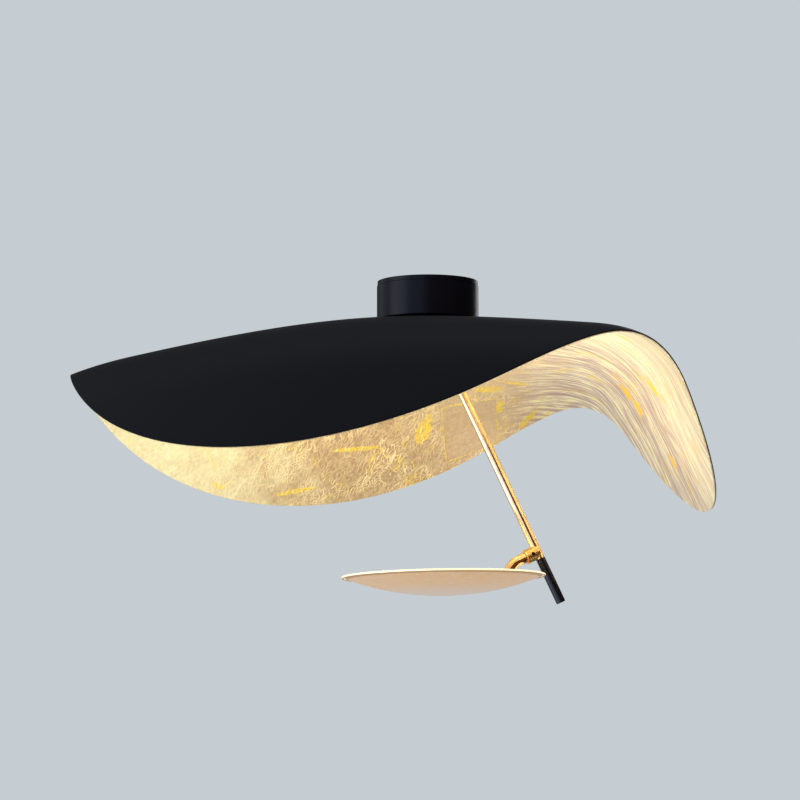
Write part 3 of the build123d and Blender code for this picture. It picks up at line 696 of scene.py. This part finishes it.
    def streaks(self, shader: Shader, flat: Value) -> Value:
        """Long brushed lines that run out over the bend of the wing.

        Args:
            shader: The finish's shader.
            flat: Position on the flat sheet in millimetres.

        Returns:
            A value that is 1 on a line.
        """
        sway = shader.grain(shader.stretched(flat, (1.0, 0.6, 1.0)), 70.0, 1.0) - 0.5
        lift = shader.node("ShaderNodeCombineXYZ", {}, {"Y": sway * 46.0})
        swirl = shader.vector("ADD", flat, lift)
        longest, longer, long, short = (shader.stretched(swirl, (share, 1.0, 1.0))
                                        for share in (0.035, 0.04, 0.05, 0.3))
        gather = shader.step(shader.grain(longest, 10.0, 3.0), 0.42, 0.58)
        thin = shader.crests(longer, 6.5, 5.0, 1.0, 0.1)
        hair = shader.crests(long, 3.2, 3.2, 1.0)
        bright = shader.step(shader.grain(long, 4.0, 1.0), 0.55, 0.68)
        breaks = shader.step(shader.grain(short, 5.0, 3.0), 0.36, 0.60)
        lines = shader.maths("MAXIMUM", thin * 1.4, hair * (0.4 + gather * 0.9))
        lines = shader.maths("MAXIMUM", lines, bright * (0.2 + gather * 0.6))
        return lines * (0.42 + breaks * 0.78)

    def leaves(self, shader: Shader, flat: Value) -> tuple[Value, Value]:
        """The squares of leaf.

        Args:
            shader: The finish's shader.
            flat: Position on the flat sheet in millimetres.

        Returns:
            A value that is 1 on a seam, and one that differs from leaf to leaf.
        """
        wobble = shader.grain(flat, 26.0, 2.0, 0.0, "Color")
        wobble = shader.vector("SUBTRACT", wobble, (0.5, 0.5, 0.5))
        bent = shader.vector("ADD", flat, shader.enlarged(wobble, 7.0))
        grid = shader.enlarged(shader.turned(bent, self.leaf_turn), 1.0 / self.leaf_size)
        tone = shader.node("ShaderNodeTexWhiteNoise", {}, {"Vector": shader.vector("FLOOR", grid)})
        inside = shader.vector("FRACTION", grid)
        nearest = shader.vector("MINIMUM", inside, shader.vector("SUBTRACT", (1.0, 1.0, 1.0), inside))
        edge = shader.maths("MINIMUM", nearest.part("X"), nearest.part("Y")) * self.leaf_size
        broken = shader.step(shader.grain(flat, 13.0, 3.0), 0.50, 0.58)
        return shader.step(edge, self.seam_width, self.seam_width / 3) * broken, tone


class Lay(Enum):
    """Which way the fine lines of a metal surface run."""

    ROUND = "round the axis, as turned"
    LENGTHWISE = "along the axis, as drawn"


@dataclass(frozen=True)
class Brass(Finish):
    """Brass or another metal, turned or drawn about an axis, then lacquered."""

    origin: Triple = (0.0, 0.0, 0.0)
    axis: Triple = SHADE_AXIS
    lay: Lay = Lay.ROUND
    colour: Triple = (0.84, 0.61, 0.30)
    roughness: float = 0.26
    line_pitch: float = 0.35
    line_rise: float = 0.0012
    line_stretch: float = 0.985
    tarnish: Triple = (0.84, 0.78, 0.66)

    def paint(self, shader: Shader) -> None:
        """Lay fine lines round or along the axis, with slow changes of tone."""
        where = shader.place()
        along, away = shader.about(where, self.origin, self.axis)
        if self.lay is Lay.ROUND:
            slow = shader.grain(where, 30.0, 0.0)
            lines = shader.node("ShaderNodeCombineXYZ", {}, {"X": along, "Y": away, "Z": slow})
        else:
            arm = shader.vector("SUBTRACT", where, self.origin)
            shift = shader.enlarged(self.axis, along * self.line_stretch)
            lines = shader.vector("SUBTRACT", arm, shift)
        cut = shader.grain(lines, self.line_pitch, 3.0)
        cloud = shader.grain(where, 9.0, 3.0, 0.8)
        deep = tuple(channel * shade for channel, shade in zip(self.colour, self.tarnish))
        colour = shader.mixed(shader.step(cloud, 0.35, 0.7), self.colour, deep)
        roughness = self.roughness * (0.8 + cut * 0.25 + cloud * 0.15)
        shader.finish(
            Base_Color=colour,
            Metallic=1.0,
            Roughness=roughness,
            Normal=shader.bump(cut, self.line_rise),
        )


@dataclass(frozen=True)
class PlatedSteel(Finish):
    """Zinc-plated or blackened steel, with thread lines where the piece is threaded."""

    colour: Triple = (0.55, 0.56, 0.55)
    roughness: float = 0.34
    thread_pitch: float = 0.0
    yellowed: Triple = (0.86, 0.82, 0.68)

    def paint(self, shader: Shader) -> None:
        """Mottle the plating, scratch it, and cut a thread where there is one."""
        where = shader.place()
        tone = shader.cells(where, 1.3, output="Color").part("X")
        warm = tuple(channel * shade for channel, shade in zip(self.colour, self.yellowed))
        colour = shader.mixed(tone * 0.6, self.colour, warm)
        scratch = shader.crests(shader.stretched(where, (1.0, 0.15, 1.0)), 1.1, 8.0)
        normal = shader.bump(scratch, 0.004)
        if self.thread_pitch > 0.0:
            turn = shader.maths("FRACT", where.part("Z") / self.thread_pitch)
            flank = 1.0 - abs(turn * 2.0 - 1.0)
            normal = shader.bump(flank, 0.45 * self.thread_pitch, normal)
        shader.finish(
            Base_Color=colour,
            Metallic=1.0,
            Roughness=self.roughness + tone * 0.14 + scratch * 0.05,
            Normal=normal,
        )


@dataclass(frozen=True)
class Moulded(Finish):
    """Plastic, nylon, rubber or silicone with a fine moulded grain."""

    colour: Triple = (0.80, 0.79, 0.76)
    roughness: float = 0.5
    grain_pitch: float = 0.6
    grain_rise: float = 0.02

    def paint(self, shader: Shader) -> None:
        """Add the grain of the mould and a slight change of tone."""
        where = shader.place()
        grit = shader.grain(where, self.grain_pitch, 2.0)
        cloud = shader.grain(where, 12.0, 2.0)
        shade = tuple(channel * 0.86 for channel in self.colour)
        shader.finish(
            Base_Color=shader.mixed(cloud, self.colour, shade),
            Roughness=self.roughness + (grit - 0.5) * 0.2,
            Normal=shader.bump(grit, self.grain_rise),
        )


@dataclass(frozen=True)
class DishLacquer(Finish):
    """Champagne metallic lacquer over the dish's spinning rings, with a painted highlight and glow on
    the rim's bead.
    """

    colour: Triple = (0.93, 0.575, 0.31)
    pale: Triple = (0.94, 0.65, 0.40)
    shaded: Triple = (0.86, 0.68, 0.54)
    bronze: Triple = (0.52, 0.30, 0.09)
    lit: Triple = (0.62, 0.50, 0.33)
    flake: Triple = (0.94, 0.82, 0.62)
    bead_highlight: Triple = (0.97, 0.90, 0.74)
    bead_bottom: float = -1.1
    bead_top: float = -0.8
    line_bottom: float = -2.2
    line_top: float = -1.8
    shaded_top: float = -8.0
    shaded_bottom: float = -16.0

    def paint(self, shader: Shader) -> None:
        """Lay soft rings about the dish's axis and a little mottling over them, and paint a highlight
        and a glow on the rim's bead.
        """
        where = shader.place()
        height, away = shader.about(where, DISH_CENTRE, DISH_AXIS)
        slow = shader.grain(where, 60.0, 1.0)
        lines = shader.node("ShaderNodeCombineXYZ", {}, {"X": away, "Y": slow * 3.0})
        rings = shader.grain(lines, 1.6, 3.0)
        mottle = shader.grain(where, 5.0, 4.0, 0.8)
        flake = shader.cells(where, 0.45, output="Color").part("X")
        colour = shader.mixed(shader.step(mottle, 0.4, 0.66), self.colour, self.pale)
        colour = shader.mixed(flake * 0.18, colour, self.flake)
        shaded = shader.step(height, self.shaded_top, self.shaded_bottom)
        colour = shader.mixed(shaded, colour, self.shaded)
        # painted highlight: the rim's bead is coloured pale cream
        bead_highlight = shader.step(height, self.bead_bottom, self.bead_top)
        line = shader.step(height, self.line_bottom, self.line_top) * (1.0 - bead_highlight)
        colour = shader.mixed(line * 0.8, colour, self.bronze)
        colour = shader.mixed(bead_highlight, colour, self.bead_highlight)
        normal = shader.bump(rings, 0.010)
        shader.finish(
            Base_Color=colour,
            # painted glow: the bead gives off light of its own, though it is no lamp
            Emission_Color=shader.mixed(bead_highlight, (0.0, 0.0, 0.0), self.lit),
            Emission_Strength=1.0,
            Metallic=0.25,
            Roughness=0.40 + (mottle - 0.5) * 0.2 + rings * 0.06,
            Normal=shader.bump(mottle, 0.012, normal),
        )


@dataclass(frozen=True)
class OpalCover(Finish):
    """The milky cover, lit from below by the rings of LEDs."""

    glow: Triple = (1.0, 0.80, 0.50)
    strength: float = 1.15

    def paint(self, shader: Shader) -> None:
        """Glow warmly, a little brighter over each ring of LEDs."""
        where = shader.place()
        _, away = shader.about(where, DISH_CENTRE, DISH_AXIS)
        wave = shader.maths("COSINE", away * (2.0 * math.pi / LED_RING_PITCH)) * 0.5 + 0.5
        silk = shader.grain(where, 0.8, 2.0)
        edge = shader.step(away, 50.0, 44.0)
        light = shader.mixed(wave * 0.35, (0.94, 0.73, 0.44), self.glow)
        shader.finish(
            Base_Color=shader.mixed(silk, (0.90, 0.87, 0.80), (0.95, 0.92, 0.86)),
            Roughness=0.45 + (silk - 0.5) * 0.12,
            Emission_Color=shader.mixed(edge, (0.80, 0.58, 0.31), light),
            Emission_Strength=self.strength,
            Normal=shader.bump(silk, 0.012),
        )


@dataclass(frozen=True)
class SolderMask(Finish):
    """White board with copper rings that show faintly under the mask."""

    def paint(self, shader: Shader) -> None:
        """Draw the copper under the mask as slightly raised, darker rings."""
        where = shader.place()
        _, away = shader.about(where, DISH_CENTRE, DISH_AXIS)
        ring = abs(shader.maths("FRACT", away / LED_RING_PITCH + 0.5) - 0.5) * LED_RING_PITCH
        copper = shader.step(ring, 2.6, 2.3) - shader.step(ring, 0.6, 0.4) * 0.6
        silk = shader.grain(where, 0.9, 2.0)
        shader.finish(
            Base_Color=shader.mixed(copper * 0.5, (0.86, 0.87, 0.85), (0.76, 0.74, 0.66)),
            Roughness=0.28 + silk * 0.12,
            Normal=shader.bump(copper + silk * 0.1, 0.05),
        )


@dataclass(frozen=True)
class Phosphor(Finish):
    """The yellow gel of an LED, glowing in the middle of its white frame."""

    def paint(self, shader: Shader) -> None:
        """Glow, with fine phosphor specks."""
        where = shader.place()
        speck = shader.grain(where, 0.25, 2.0)
        shader.finish(
            Base_Color=shader.mixed(speck, (0.90, 0.72, 0.16), (0.98, 0.84, 0.36)),
            Roughness=0.3 + speck * 0.15,
            Emission_Color=shader.mixed(speck, (1.0, 0.74, 0.38), (1.0, 0.86, 0.56)),
            Emission_Strength=2.0,
            Normal=shader.bump(speck, 0.02),
        )


POLISHED: Triple = (0.90, 0.70, 0.42)
LEAD = Moulded("lead_insulation", colour=(0.24, 0.24, 0.26), roughness=0.48,
               grain_pitch=1.2, grain_rise=0.02)
HUB_SCREW = PlatedSteel("black_steel", colour=(0.04, 0.04, 0.042), roughness=0.3)


def dress(finish: Finish, *nodes: str) -> None:
    """Give nodes of the frame their finish.

    Args:
        finish: The finish.
        nodes: Names of the nodes.
    """
    for name in nodes:
        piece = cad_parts[name]
        for index in range(len(piece.material_slots)):
            piece.material_slots[index].material = finish.material()
        log.info("%s: %s", name, finish.slot)


def new_piece(name: str, points: np.ndarray, faces: list[tuple[int, ...]],
              finish: Finish) -> bpy.types.Object:
    """Make a smooth-shaded piece.

    Args:
        name: Name of the piece.
        points: Its points in millimetres.
        faces: Its faces, as numbers of points.
        finish: Its finish.

    Returns:
        The piece, in the scene.
    """
    mesh = bpy.data.meshes.new(name)
    mesh.from_pydata((points * MM).tolist(), [], faces)
    mesh.polygons.foreach_set("use_smooth", np.ones(len(mesh.polygons), dtype=bool))
    mesh.set_sharp_from_angle(angle=SHARP_EDGE)
    mesh.materials.append(finish.material())
    piece = bpy.data.objects.new(name, mesh)
    bpy.context.scene.collection.objects.link(piece)
    log.info("%s: %d points, %s", name, len(points), finish.slot)
    return piece


@dataclass(frozen=True)
class Bend:
    """One line over which the flat sheet is bent down."""

    heading: float
    start: float
    run: float
    angle: float
    steps: int = 40

    def ahead(self) -> np.ndarray:
        """Direction across the bend, on the flat sheet."""
        turn = math.radians(self.heading)
        return np.array([math.cos(turn), math.sin(turn)])

    def travel(self, flat: np.ndarray) -> tuple[np.ndarray, np.ndarray]:
        """Work out how far the bend draws points inwards and lowers them.

        Args:
            flat: Points on the flat sheet.

        Returns:
            The two distances for each point.
        """
        reach = np.maximum(flat @ self.ahead() - self.start, 0.0)
        step = reach[:, None] / self.steps
        share = np.minimum(1.0, (np.arange(self.steps) + 0.5) * step / self.run)
        slope = math.radians(self.angle) * share ** 2 * (3.0 - 2.0 * share)
        inward = ((1.0 - np.cos(slope)) * step).sum(axis=1)
        down = (np.sin(slope) * step).sum(axis=1)
        return inward, down


@dataclass
class Shade:
    """The bent sheet and the leaf on its underside."""

    hole: float = 5.05
    rim: float = 299.75
    seat: float = 20.0
    seat_height: float = -34.0
    cone_slope: float = 0.148
    cone_blend: float = 25.0
    thickness: float = 1.5
    leaf: float = 0.3
    lap_start: float = 0.95
    lap_depth: float = 0.15
    dent_depth: float = 0.09
    turns: int = 540
    bends: tuple[Bend, ...] = (
        Bend(0.0, 115.0, 100.0, 61.0),
        Bend(-121.0, 110.0, 135.0, 44.0),
        Bend(121.0, 100.0, 140.0, 51.0),
    )

    def build(self) -> None:
        """Make the shell and its lining."""
        shell = self.layer("shade_sheet", self.shell_profile(), BlackLacquer("black_shade"))
        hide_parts("shade_shell")
        lining = self.layer("leaf_lining", self.lining_profile(), GoldLeaf("gold_leaf"), True)
        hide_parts("gold_leaf_lining")

    def top(self, flat: np.ndarray) -> np.ndarray:
        """Find where points of the flat sheet lie on the finished upper face.

        Args:
            flat: Points on the flat sheet.

        Returns:
            The points in space.
        """
        beyond = np.maximum(np.hypot(flat[:, 0], flat[:, 1]) - self.seat, 0.0)
        sink = self.cone_slope * (np.hypot(beyond, self.cone_blend) - self.cone_blend)
        points = np.column_stack([flat, self.seat_height - sink])
        for bend in self.bends:
            inward, down = bend.travel(flat)
            points[:, :2] -= inward[:, None] * bend.ahead()
            points[:, 2] -= down
        return points

    def below(self, flat: np.ndarray, depth: np.ndarray) -> np.ndarray:
        """Find points at a depth under the upper face, square to the sheet.

        Args:
            flat: Points on the flat sheet.
            depth: Depth of each point.

        Returns:
            The points in space.
        """
        reach = 0.5
        ahead = np.array([reach, 0.0])
        aside = np.array([0.0, reach])
        along = self.top(flat + ahead) - self.top(flat - ahead)
        across = self.top(flat + aside) - self.top(flat - aside)
        normal = np.cross(along, across)
        normal /= np.linalg.norm(normal, axis=1)[:, None]
        return self.top(flat) - normal * depth[:, None]

    def shell_profile(self) -> list[tuple[float, float]]:
        """Radius and depth along the shell's section, round once.

        Returns:
            The section's corners, the rim slightly rounded.
        """
        rounding = ((-0.45, 0.0), (-0.18, 0.06), (-0.04, 0.22), (0.0, 0.45))
        upper = [(radius, 0.0) for radius in self.radii(120)]
        edge = [(self.rim + out, depth) for out, depth in rounding]
        inner = self.rim - self.lap_depth
        edge += [(self.rim, self.lap_start - 0.03), (inner, self.lap_start), (inner, self.thickness)]
        lower = [(radius, self.thickness) for radius in reversed(self.radii(60))]
        return upper + edge + lower

    def lining_profile(self) -> list[tuple[float, float]]:
        """Radius and depth along the lining's section, round once.

        Returns:
            The section's corners.
        """
        back = self.thickness
        face = self.thickness + self.leaf
        inner = self.rim - self.lap_depth
        upper = [(radius, back) for radius in self.radii(30)]
        edge = [(inner, back), (inner, self.lap_start + 0.02), (self.rim - 0.02, self.lap_start + 0.02)]
        edge += [(self.rim, self.lap_start + 0.08), (self.rim, face - 0.1), (self.rim - 0.1, face)]
        lower = [(radius, face) for radius in reversed(self.radii(160))]
        return upper + edge + lower

    def radii(self, count: int) -> list[float]:
        """Radii from the hole to just inside the rim, evenly spaced."""
        return list(np.linspace(self.hole, self.rim - 0.8, count))

    def layer(self, name: str, profile: list[tuple[float, float]], finish: Finish,
              creased: bool = False) -> bpy.types.Object:
        """Carry a section round the sheet's centre.

        Args:
            name: Name of the piece.
            profile: Radius and depth of each corner of the section.
            finish: The finish.
            creased: Whether its lowest face has the leaf's shallow dents.

        Returns:
            The piece, riding on the body that stays at the ceiling.
        """
        turn = np.arange(self.turns) * (2.0 * math.pi / self.turns)
        ring = np.column_stack([np.cos(turn), np.sin(turn)])
        flat = np.concatenate([radius * ring for radius, _ in profile])
        depth = np.repeat([depth for _, depth in profile], self.turns)
        if creased:
            depth = depth + self.dents(flat) * (depth > self.thickness + self.leaf / 2)
        points = self.below(flat, depth)
        faces = []
        for row in range(len(profile)):
            here = row * self.turns
            there = (row + 1) % len(profile) * self.turns
            for index in range(self.turns):
                after = (index + 1) % self.turns
                faces.append((here + index, there + index, there + after, here + after))
        piece = new_piece(name, points, faces, finish)
        marks = piece.data.attributes.new("flat", "FLOAT_VECTOR", "POINT")
        marks.data.foreach_set("vector", np.column_stack([flat, depth]).astype(np.float32).ravel())
        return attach(piece, "root")

    def dents(self, flat: np.ndarray) -> np.ndarray:
        """Shallow dents of the crumpled leaf, stretched along the wing.

        Args:
            flat: Points on the flat sheet.

        Returns:
            How far each point lies off the smooth face.
        """
        heights = np.empty(len(flat))
        for index, (x, y) in enumerate(flat):
            wing = min(max((x - 40.0) / 90.0, 0.0), 1.0)
            crumple = noise.noise((x / 11.0, y / 11.0, 0.0))
            crumple += 0.5 * noise.noise((x / 5.0, y / 5.0, 3.0))
            streak = noise.noise((x / 70.0, y / 6.0, 7.0))
            streak += 0.5 * noise.noise((x / 40.0, y / 3.0, 9.0))
            heights[index] = crumple * (1.0 - wing) + streak * wing
        radius = np.hypot(flat[:, 0], flat[:, 1])
        fade = np.clip((radius - 30.0) / 20.0, 0.0, 1.0)
        edge = np.clip((self.rim - radius) / 4.0, 0.0, 1.0)
        return heights * self.dent_depth * fade * edge


@dataclass
class Canopy:
    """The cup at the ceiling, its plate and what they hold."""

    def build(self) -> None:
        """Dress the canopy's nodes."""
        black = BlackLacquer("black_lacquer", colour=(0.005, 0.005, 0.0075), roughness=0.30,
                             gloss=0.12, peel_pitch=0.9, peel_rise=0.006)
        dress(black, "mounting_plate", "canopy_cover")
        blackened = PlatedSteel("black_steel", colour=(0.035, 0.035, 0.036), roughness=0.36)
        dress(blackened, "canopy_grub_screws")
        case = Moulded("driver_case", colour=(0.80, 0.80, 0.77), roughness=0.42,
                       grain_pitch=0.8, grain_rise=0.03)
        dress(case, "led_driver")
        block = Moulded("terminal_case", colour=(0.80, 0.76, 0.64), roughness=0.36,
                        grain_pitch=0.5, grain_rise=0.012)
        dress(block, "terminal_block")
        dress(LEAD, "supply_leads", "output_leads", "earth_lead")
        dress(PlatedSteel("zinc_steel"), "driver_screws", "terminal_screws", "upper_lock_nut")
        dress(PlatedSteel("zinc_steel", thread_pitch=1.0), "threaded_nipple")
        dress(Brass("satin_brass", EARTH_SCREW_PLACE, line_pitch=0.25), "earth_screw")
        rubber = Moulded("black_rubber", colour=(0.022, 0.022, 0.022), roughness=0.72,
                         grain_pitch=0.5, grain_rise=0.03)
        dress(rubber, "shade_spacer")


@dataclass
class StemJoint:
    """The swivel under the shade and the knuckle on which the stem leans."""

    def build(self) -> None:
        """Dress the joint's nodes."""
        turned = Brass("satin_brass", line_pitch=0.4)
        dress(turned, "clamp_washer", "shade_lock_nut", "swivel_base", "swivel_nut")
        nylon = Moulded("white_nylon", colour=(0.80, 0.79, 0.73), roughness=0.44,
                        grain_pitch=0.7, grain_rise=0.01)
        dress(nylon, "friction_washer", "knuckle_washers")
        dress(PlatedSteel("zinc_steel", roughness=0.28), "spring_washer")
        across = Brass("satin_brass", STEM_TOP, (0.0, 1.0, 0.0), line_pitch=0.25)
        dress(across, "knuckle_pin", "knuckle_nut")
        dress(Brass("satin_brass", STEM_TOP, STEM_AXIS, line_pitch=0.3), "stem_knuckle")


@dataclass
class Stem:
    """The brass tube, its hub and the black grip."""

    def build(self) -> None:
        """Dress the stem's nodes."""
        drawn = Brass("polished_brass", STEM_TOP, STEM_AXIS, Lay.LENGTHWISE, POLISHED,
                      roughness=0.13, line_pitch=0.3, line_rise=0.0003)
        dress(drawn, "stem_tube")
        grip = BlackLacquer("black_handle", roughness=0.26, gloss=0.40,
                            peel_pitch=0.8, peel_rise=0.003)
        dress(grip, "handle")
        dress(PlatedSteel("zinc_steel", thread_pitch=0.8), "handle_stud")
        dress(LEAD, "stem_lead")
        hub = Brass("satin_brass", HUB_CENTRE, HUB_AXIS, colour=(0.84, 0.58, 0.25),
                    roughness=0.24, line_pitch=0.3, line_rise=0.001)
        dress(hub, "tee_hub")
        dress(HUB_SCREW, "hub_grub_screw")


@dataclass
class Dish:
    """The dish on its elbow."""

    def build(self) -> None:
        """Dress the dish, the elbow and the boss between them."""
        dress(DishLacquer("dish_finish"), "dish")
        bent = Brass("polished_brass", HUB_CENTRE, HUB_AXIS, Lay.LENGTHWISE, POLISHED,
                     roughness=0.10, line_pitch=0.5, line_rise=0.0002)
        dress(bent, "elbow")
        dress(LEAD, "elbow_lead")
        dress(Brass("satin_brass", BOSS_PLACE, DISH_AXIS, line_pitch=0.3), "dish_boss")
        dress(HUB_SCREW, "boss_screw")


@dataclass
class LightSource:
    """The LEDs on their carrier, the opal cover and the light that leaves it."""

    lamp_radius: float = 48.0
    lamp_height: float = 2.0
    lamp_power: float = 1.5
    glare_power: float = 0.35
    lamp_colour: Triple = (1.0, 0.90, 0.74)

    def build(self) -> None:
        """Dress the light source and light it."""
        plain = Brass("plain_aluminium", DISH_CENTRE, DISH_AXIS, colour=(0.70, 0.70, 0.71),
                      roughness=0.32, line_pitch=0.5, line_rise=0.002)
        dress(plain, "carrier_posts", "led_carrier")
        dress(SolderMask("board_white"), "led_board")
        dress(Phosphor("led_phosphor"), "led_chips")
        dress(PlatedSteel("zinc_steel"), "carrier_screws")
        dress(OpalCover("opal_cover"), "diffuser")
        ring = Moulded("white_lacquer", colour=(0.80, 0.77, 0.70), roughness=0.35,
                       grain_pitch=1.0, grain_rise=0.008)
        dress(ring, "diffuser_ring")
        self.light("cover_light", self.lamp_power).visible_glossy = False
        self.light("cover_glare", self.glare_power).visible_diffuse = False

    def light(self, name: str, power: float) -> bpy.types.Object:
        """Put a warm light just over the cover, shining up into the shade.

        Args:
            name: Name of the light.
            power: Its power in watts.

        Returns:
            The light, riding on the dish.
        """
        lamp = bpy.data.lights.new(name, "AREA")
        lamp.shape = "DISK"
        lamp.size = 2.0 * self.lamp_radius * MM
        lamp.energy = power
        lamp.color = self.lamp_colour
        piece = bpy.data.objects.new(name, lamp)
        axis = Vector(DISH_AXIS).normalized()
        piece.location = (Vector(DISH_CENTRE) + axis * self.lamp_height) * MM
        piece.rotation_mode = "QUATERNION"
        piece.rotation_quaternion = axis.to_track_quat("-Z", "Y")
        piece.visible_camera = False
        bpy.context.scene.collection.objects.link(piece)
        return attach(piece, "disc")


@dataclass
class Lamp:
    """One soft lamp of the studio."""

    name: str
    place: Triple
    size: tuple[float, float]
    power: float
    colour: Triple = (1.0, 1.0, 1.0)

    def hang(self, target: Vector) -> None:
        """Hang the lamp and point it.

        Args:
            target: The point it faces, in metres.
        """
        lamp = bpy.data.lights.new(self.name, "AREA")
        lamp.shape = "RECTANGLE"
        lamp.size, lamp.size_y = self.size
        lamp.energy = self.power
        lamp.color = self.colour
        piece = bpy.data.objects.new(self.name, lamp)
        piece.location = self.place
        piece.rotation_mode = "QUATERNION"
        piece.rotation_quaternion = (target - Vector(self.place)).to_track_quat("-Z", "Y")
        piece.visible_camera = False
        bpy.context.scene.collection.objects.link(piece)


@dataclass
class Studio:
    """Camera, floor, background and lamps, in metres."""

    camera_place: Triple = (-0.0268, -1.928, -0.303)
    camera_turn: Triple = (96.0, 0.0, -0.10)
    focal_length: float = 103.5
    floor_height: float = -2.4
    floor_half: float = 4.0
    lamp_target: Triple = (0.0, 0.0, -0.15)
    wall: Triple = (0.558, 0.610, 0.644)
    ambient: Triple = (0.80, 0.82, 0.85)
    ambient_strength: float = 0.55
    lamps: list[Lamp] = field(default_factory=lambda: [
        Lamp("left_window", (-2.2, -0.8, -0.4), (1.8, 2.2), 36.0, (0.96, 0.98, 1.0)),
        Lamp("right_fill", (1.0, -0.8, -1.7), (1.2, 1.2), 17.0, (1.0, 0.96, 0.90)),
        Lamp("back_light", (0.6, 2.0, 0.3), (1.6, 0.8), 8.0),
    ])

    def build(self) -> None:
        """Set the studio up."""
        bpy.context.scene.view_settings.view_transform = "Standard"
        self.set_camera()
        self.lay_floor()
        self.light_background()
        self.hang_cards()
        for lamp in self.lamps:
            lamp.hang(Vector(self.lamp_target))
        log.info("studio: %d lamps", len(self.lamps))

    def set_camera(self) -> None:
        """Put the camera a little below the shade, looking slightly up."""
        camera = bpy.data.cameras.new("camera")
        camera.sensor_width = 36.0
        camera.lens = self.focal_length
        piece = bpy.data.objects.new("camera", camera)
        piece.location = self.camera_place
        piece.rotation_euler = tuple(math.radians(angle) for angle in self.camera_turn)
        bpy.context.scene.collection.objects.link(piece)
        bpy.context.scene.camera = piece

    def plane(self, name: str, corners: list[Triple]) -> tuple[bpy.types.Object, Nodes]:
        """Make a flat stage piece.

        Args:
            name: Name of the piece.
            corners: Its four corners in metres.

        Returns:
            The piece and its empty material's nodes.
        """
        mesh = bpy.data.meshes.new(name)
        mesh.from_pydata(corners, [], [(0, 1, 2, 3)])
        piece = bpy.data.objects.new(name, mesh)
        bpy.context.scene.collection.objects.link(piece)
        material = bpy.data.materials.new(name)
        material.use_nodes = True
        mesh.materials.append(material)
        return piece, Nodes(material.node_tree)

    def lay_floor(self) -> None:
        """Lay the pale floor far below the light."""
        half = self.floor_half
        height = self.floor_height
        corners = [(-half, -half, height), (half, -half, height),
                   (half, half, height), (-half, half, height)]
        _, nodes = self.plane("floor", corners)
        seen = nodes.node("ShaderNodeLightPath", output="Is Camera Ray")
        colour = nodes.mixed(seen, (0.62, 0.65, 0.67), (0.95, 0.98, 1.0))
        surface = nodes.node("ShaderNodeBsdfDiffuse", {}, {"Color": colour})
        nodes.node_out("ShaderNodeOutputMaterial", surface)

    def hang_cards(self) -> None:
        """Hang cards that only polished metal and lacquer reflect: dark and brown ones paint dark
        reflections in front, to the right, behind and below, and a pale one paints a bright reflection
        from the front left.
        """
        # painted reflections: the cards are seen only in reflections; the dark and brown ones darken
        # them, the pale one adds a bright one
        dark: Triple = (0.012, 0.010, 0.009)
        brown: Triple = (0.17, 0.055, 0.010)
        dim: Triple = (0.12, 0.12, 0.13)
        pale: Triple = (1.10, 1.22, 1.60)
        upright = (
            ("front_card", brown, (-0.22, -2.6), (2.3, -1.3), (-2.3, 1.0)),
            ("side_card", dark, (2.3, -1.3), (2.3, 1.8), (-2.3, 1.0)),
            ("back_card", dim, (2.3, 1.8), (-2.0, 2.2), (-0.1, 2.6)),
            ("left_card", pale, (-1.75, -1.55), (-0.32, -2.4), (-1.7, 0.5)),
        )
        cards = [(name, colour, [(*start, low), (*end, low), (*end, high), (*start, high)])
                 for name, colour, start, end, (low, high) in upright]
        outline = ((0.3, -2.6), (2.3, -1.3), (2.3, 1.8), (0.3, 1.8))
        cards.append(("low_card", dark, [(*corner, -2.2) for corner in outline]))
        for name, colour, corners in cards:
            card, nodes = self.plane(name, corners)
            surface = nodes.node("ShaderNodeEmission", {}, {"Color": colour})
            nodes.node_out("ShaderNodeOutputMaterial", surface)
            card.visible_camera = False
            card.visible_diffuse = False
            card.visible_shadow = False

    def light_background(self) -> None:
        """Give the background its pale colour, and the light from it a softer level."""
        world = bpy.data.worlds.new("background")
        world.use_nodes = True
        bpy.context.scene.world = world
        nodes = Nodes(world.node_tree)
        path = [nodes.node("ShaderNodeLightPath", output=name)
                for name in ("Is Camera Ray", "Is Glossy Ray", "Is Transmission Ray")]
        seen = nodes.maths("MAXIMUM", nodes.maths("MAXIMUM", path[0], path[1]), path[2])
        ambient = nodes.node("ShaderNodeBackground", {},
                             {"Color": self.ambient, "Strength": self.ambient_strength})
        wall = nodes.node("ShaderNodeBackground", {}, {"Color": self.wall, "Strength": 1.0})
        both = nodes.node("ShaderNodeMixShader", {}, {0: seen, 1: ambient, 2: wall})
        nodes.node_out("ShaderNodeOutputWorld", both)


def main() -> None:
    """Build the studio and the light, piece by piece."""
    logging.basicConfig(level=logging.INFO, format="%(name)s: %(message)s")
    Studio().build()
    for assembly in (Canopy(), Shade(), StemJoint(), Stem(), Dish(), LightSource()):
        log.info("building %s", type(assembly).__name__)
        assembly.build()


if __name__ == "__main__":
    main()
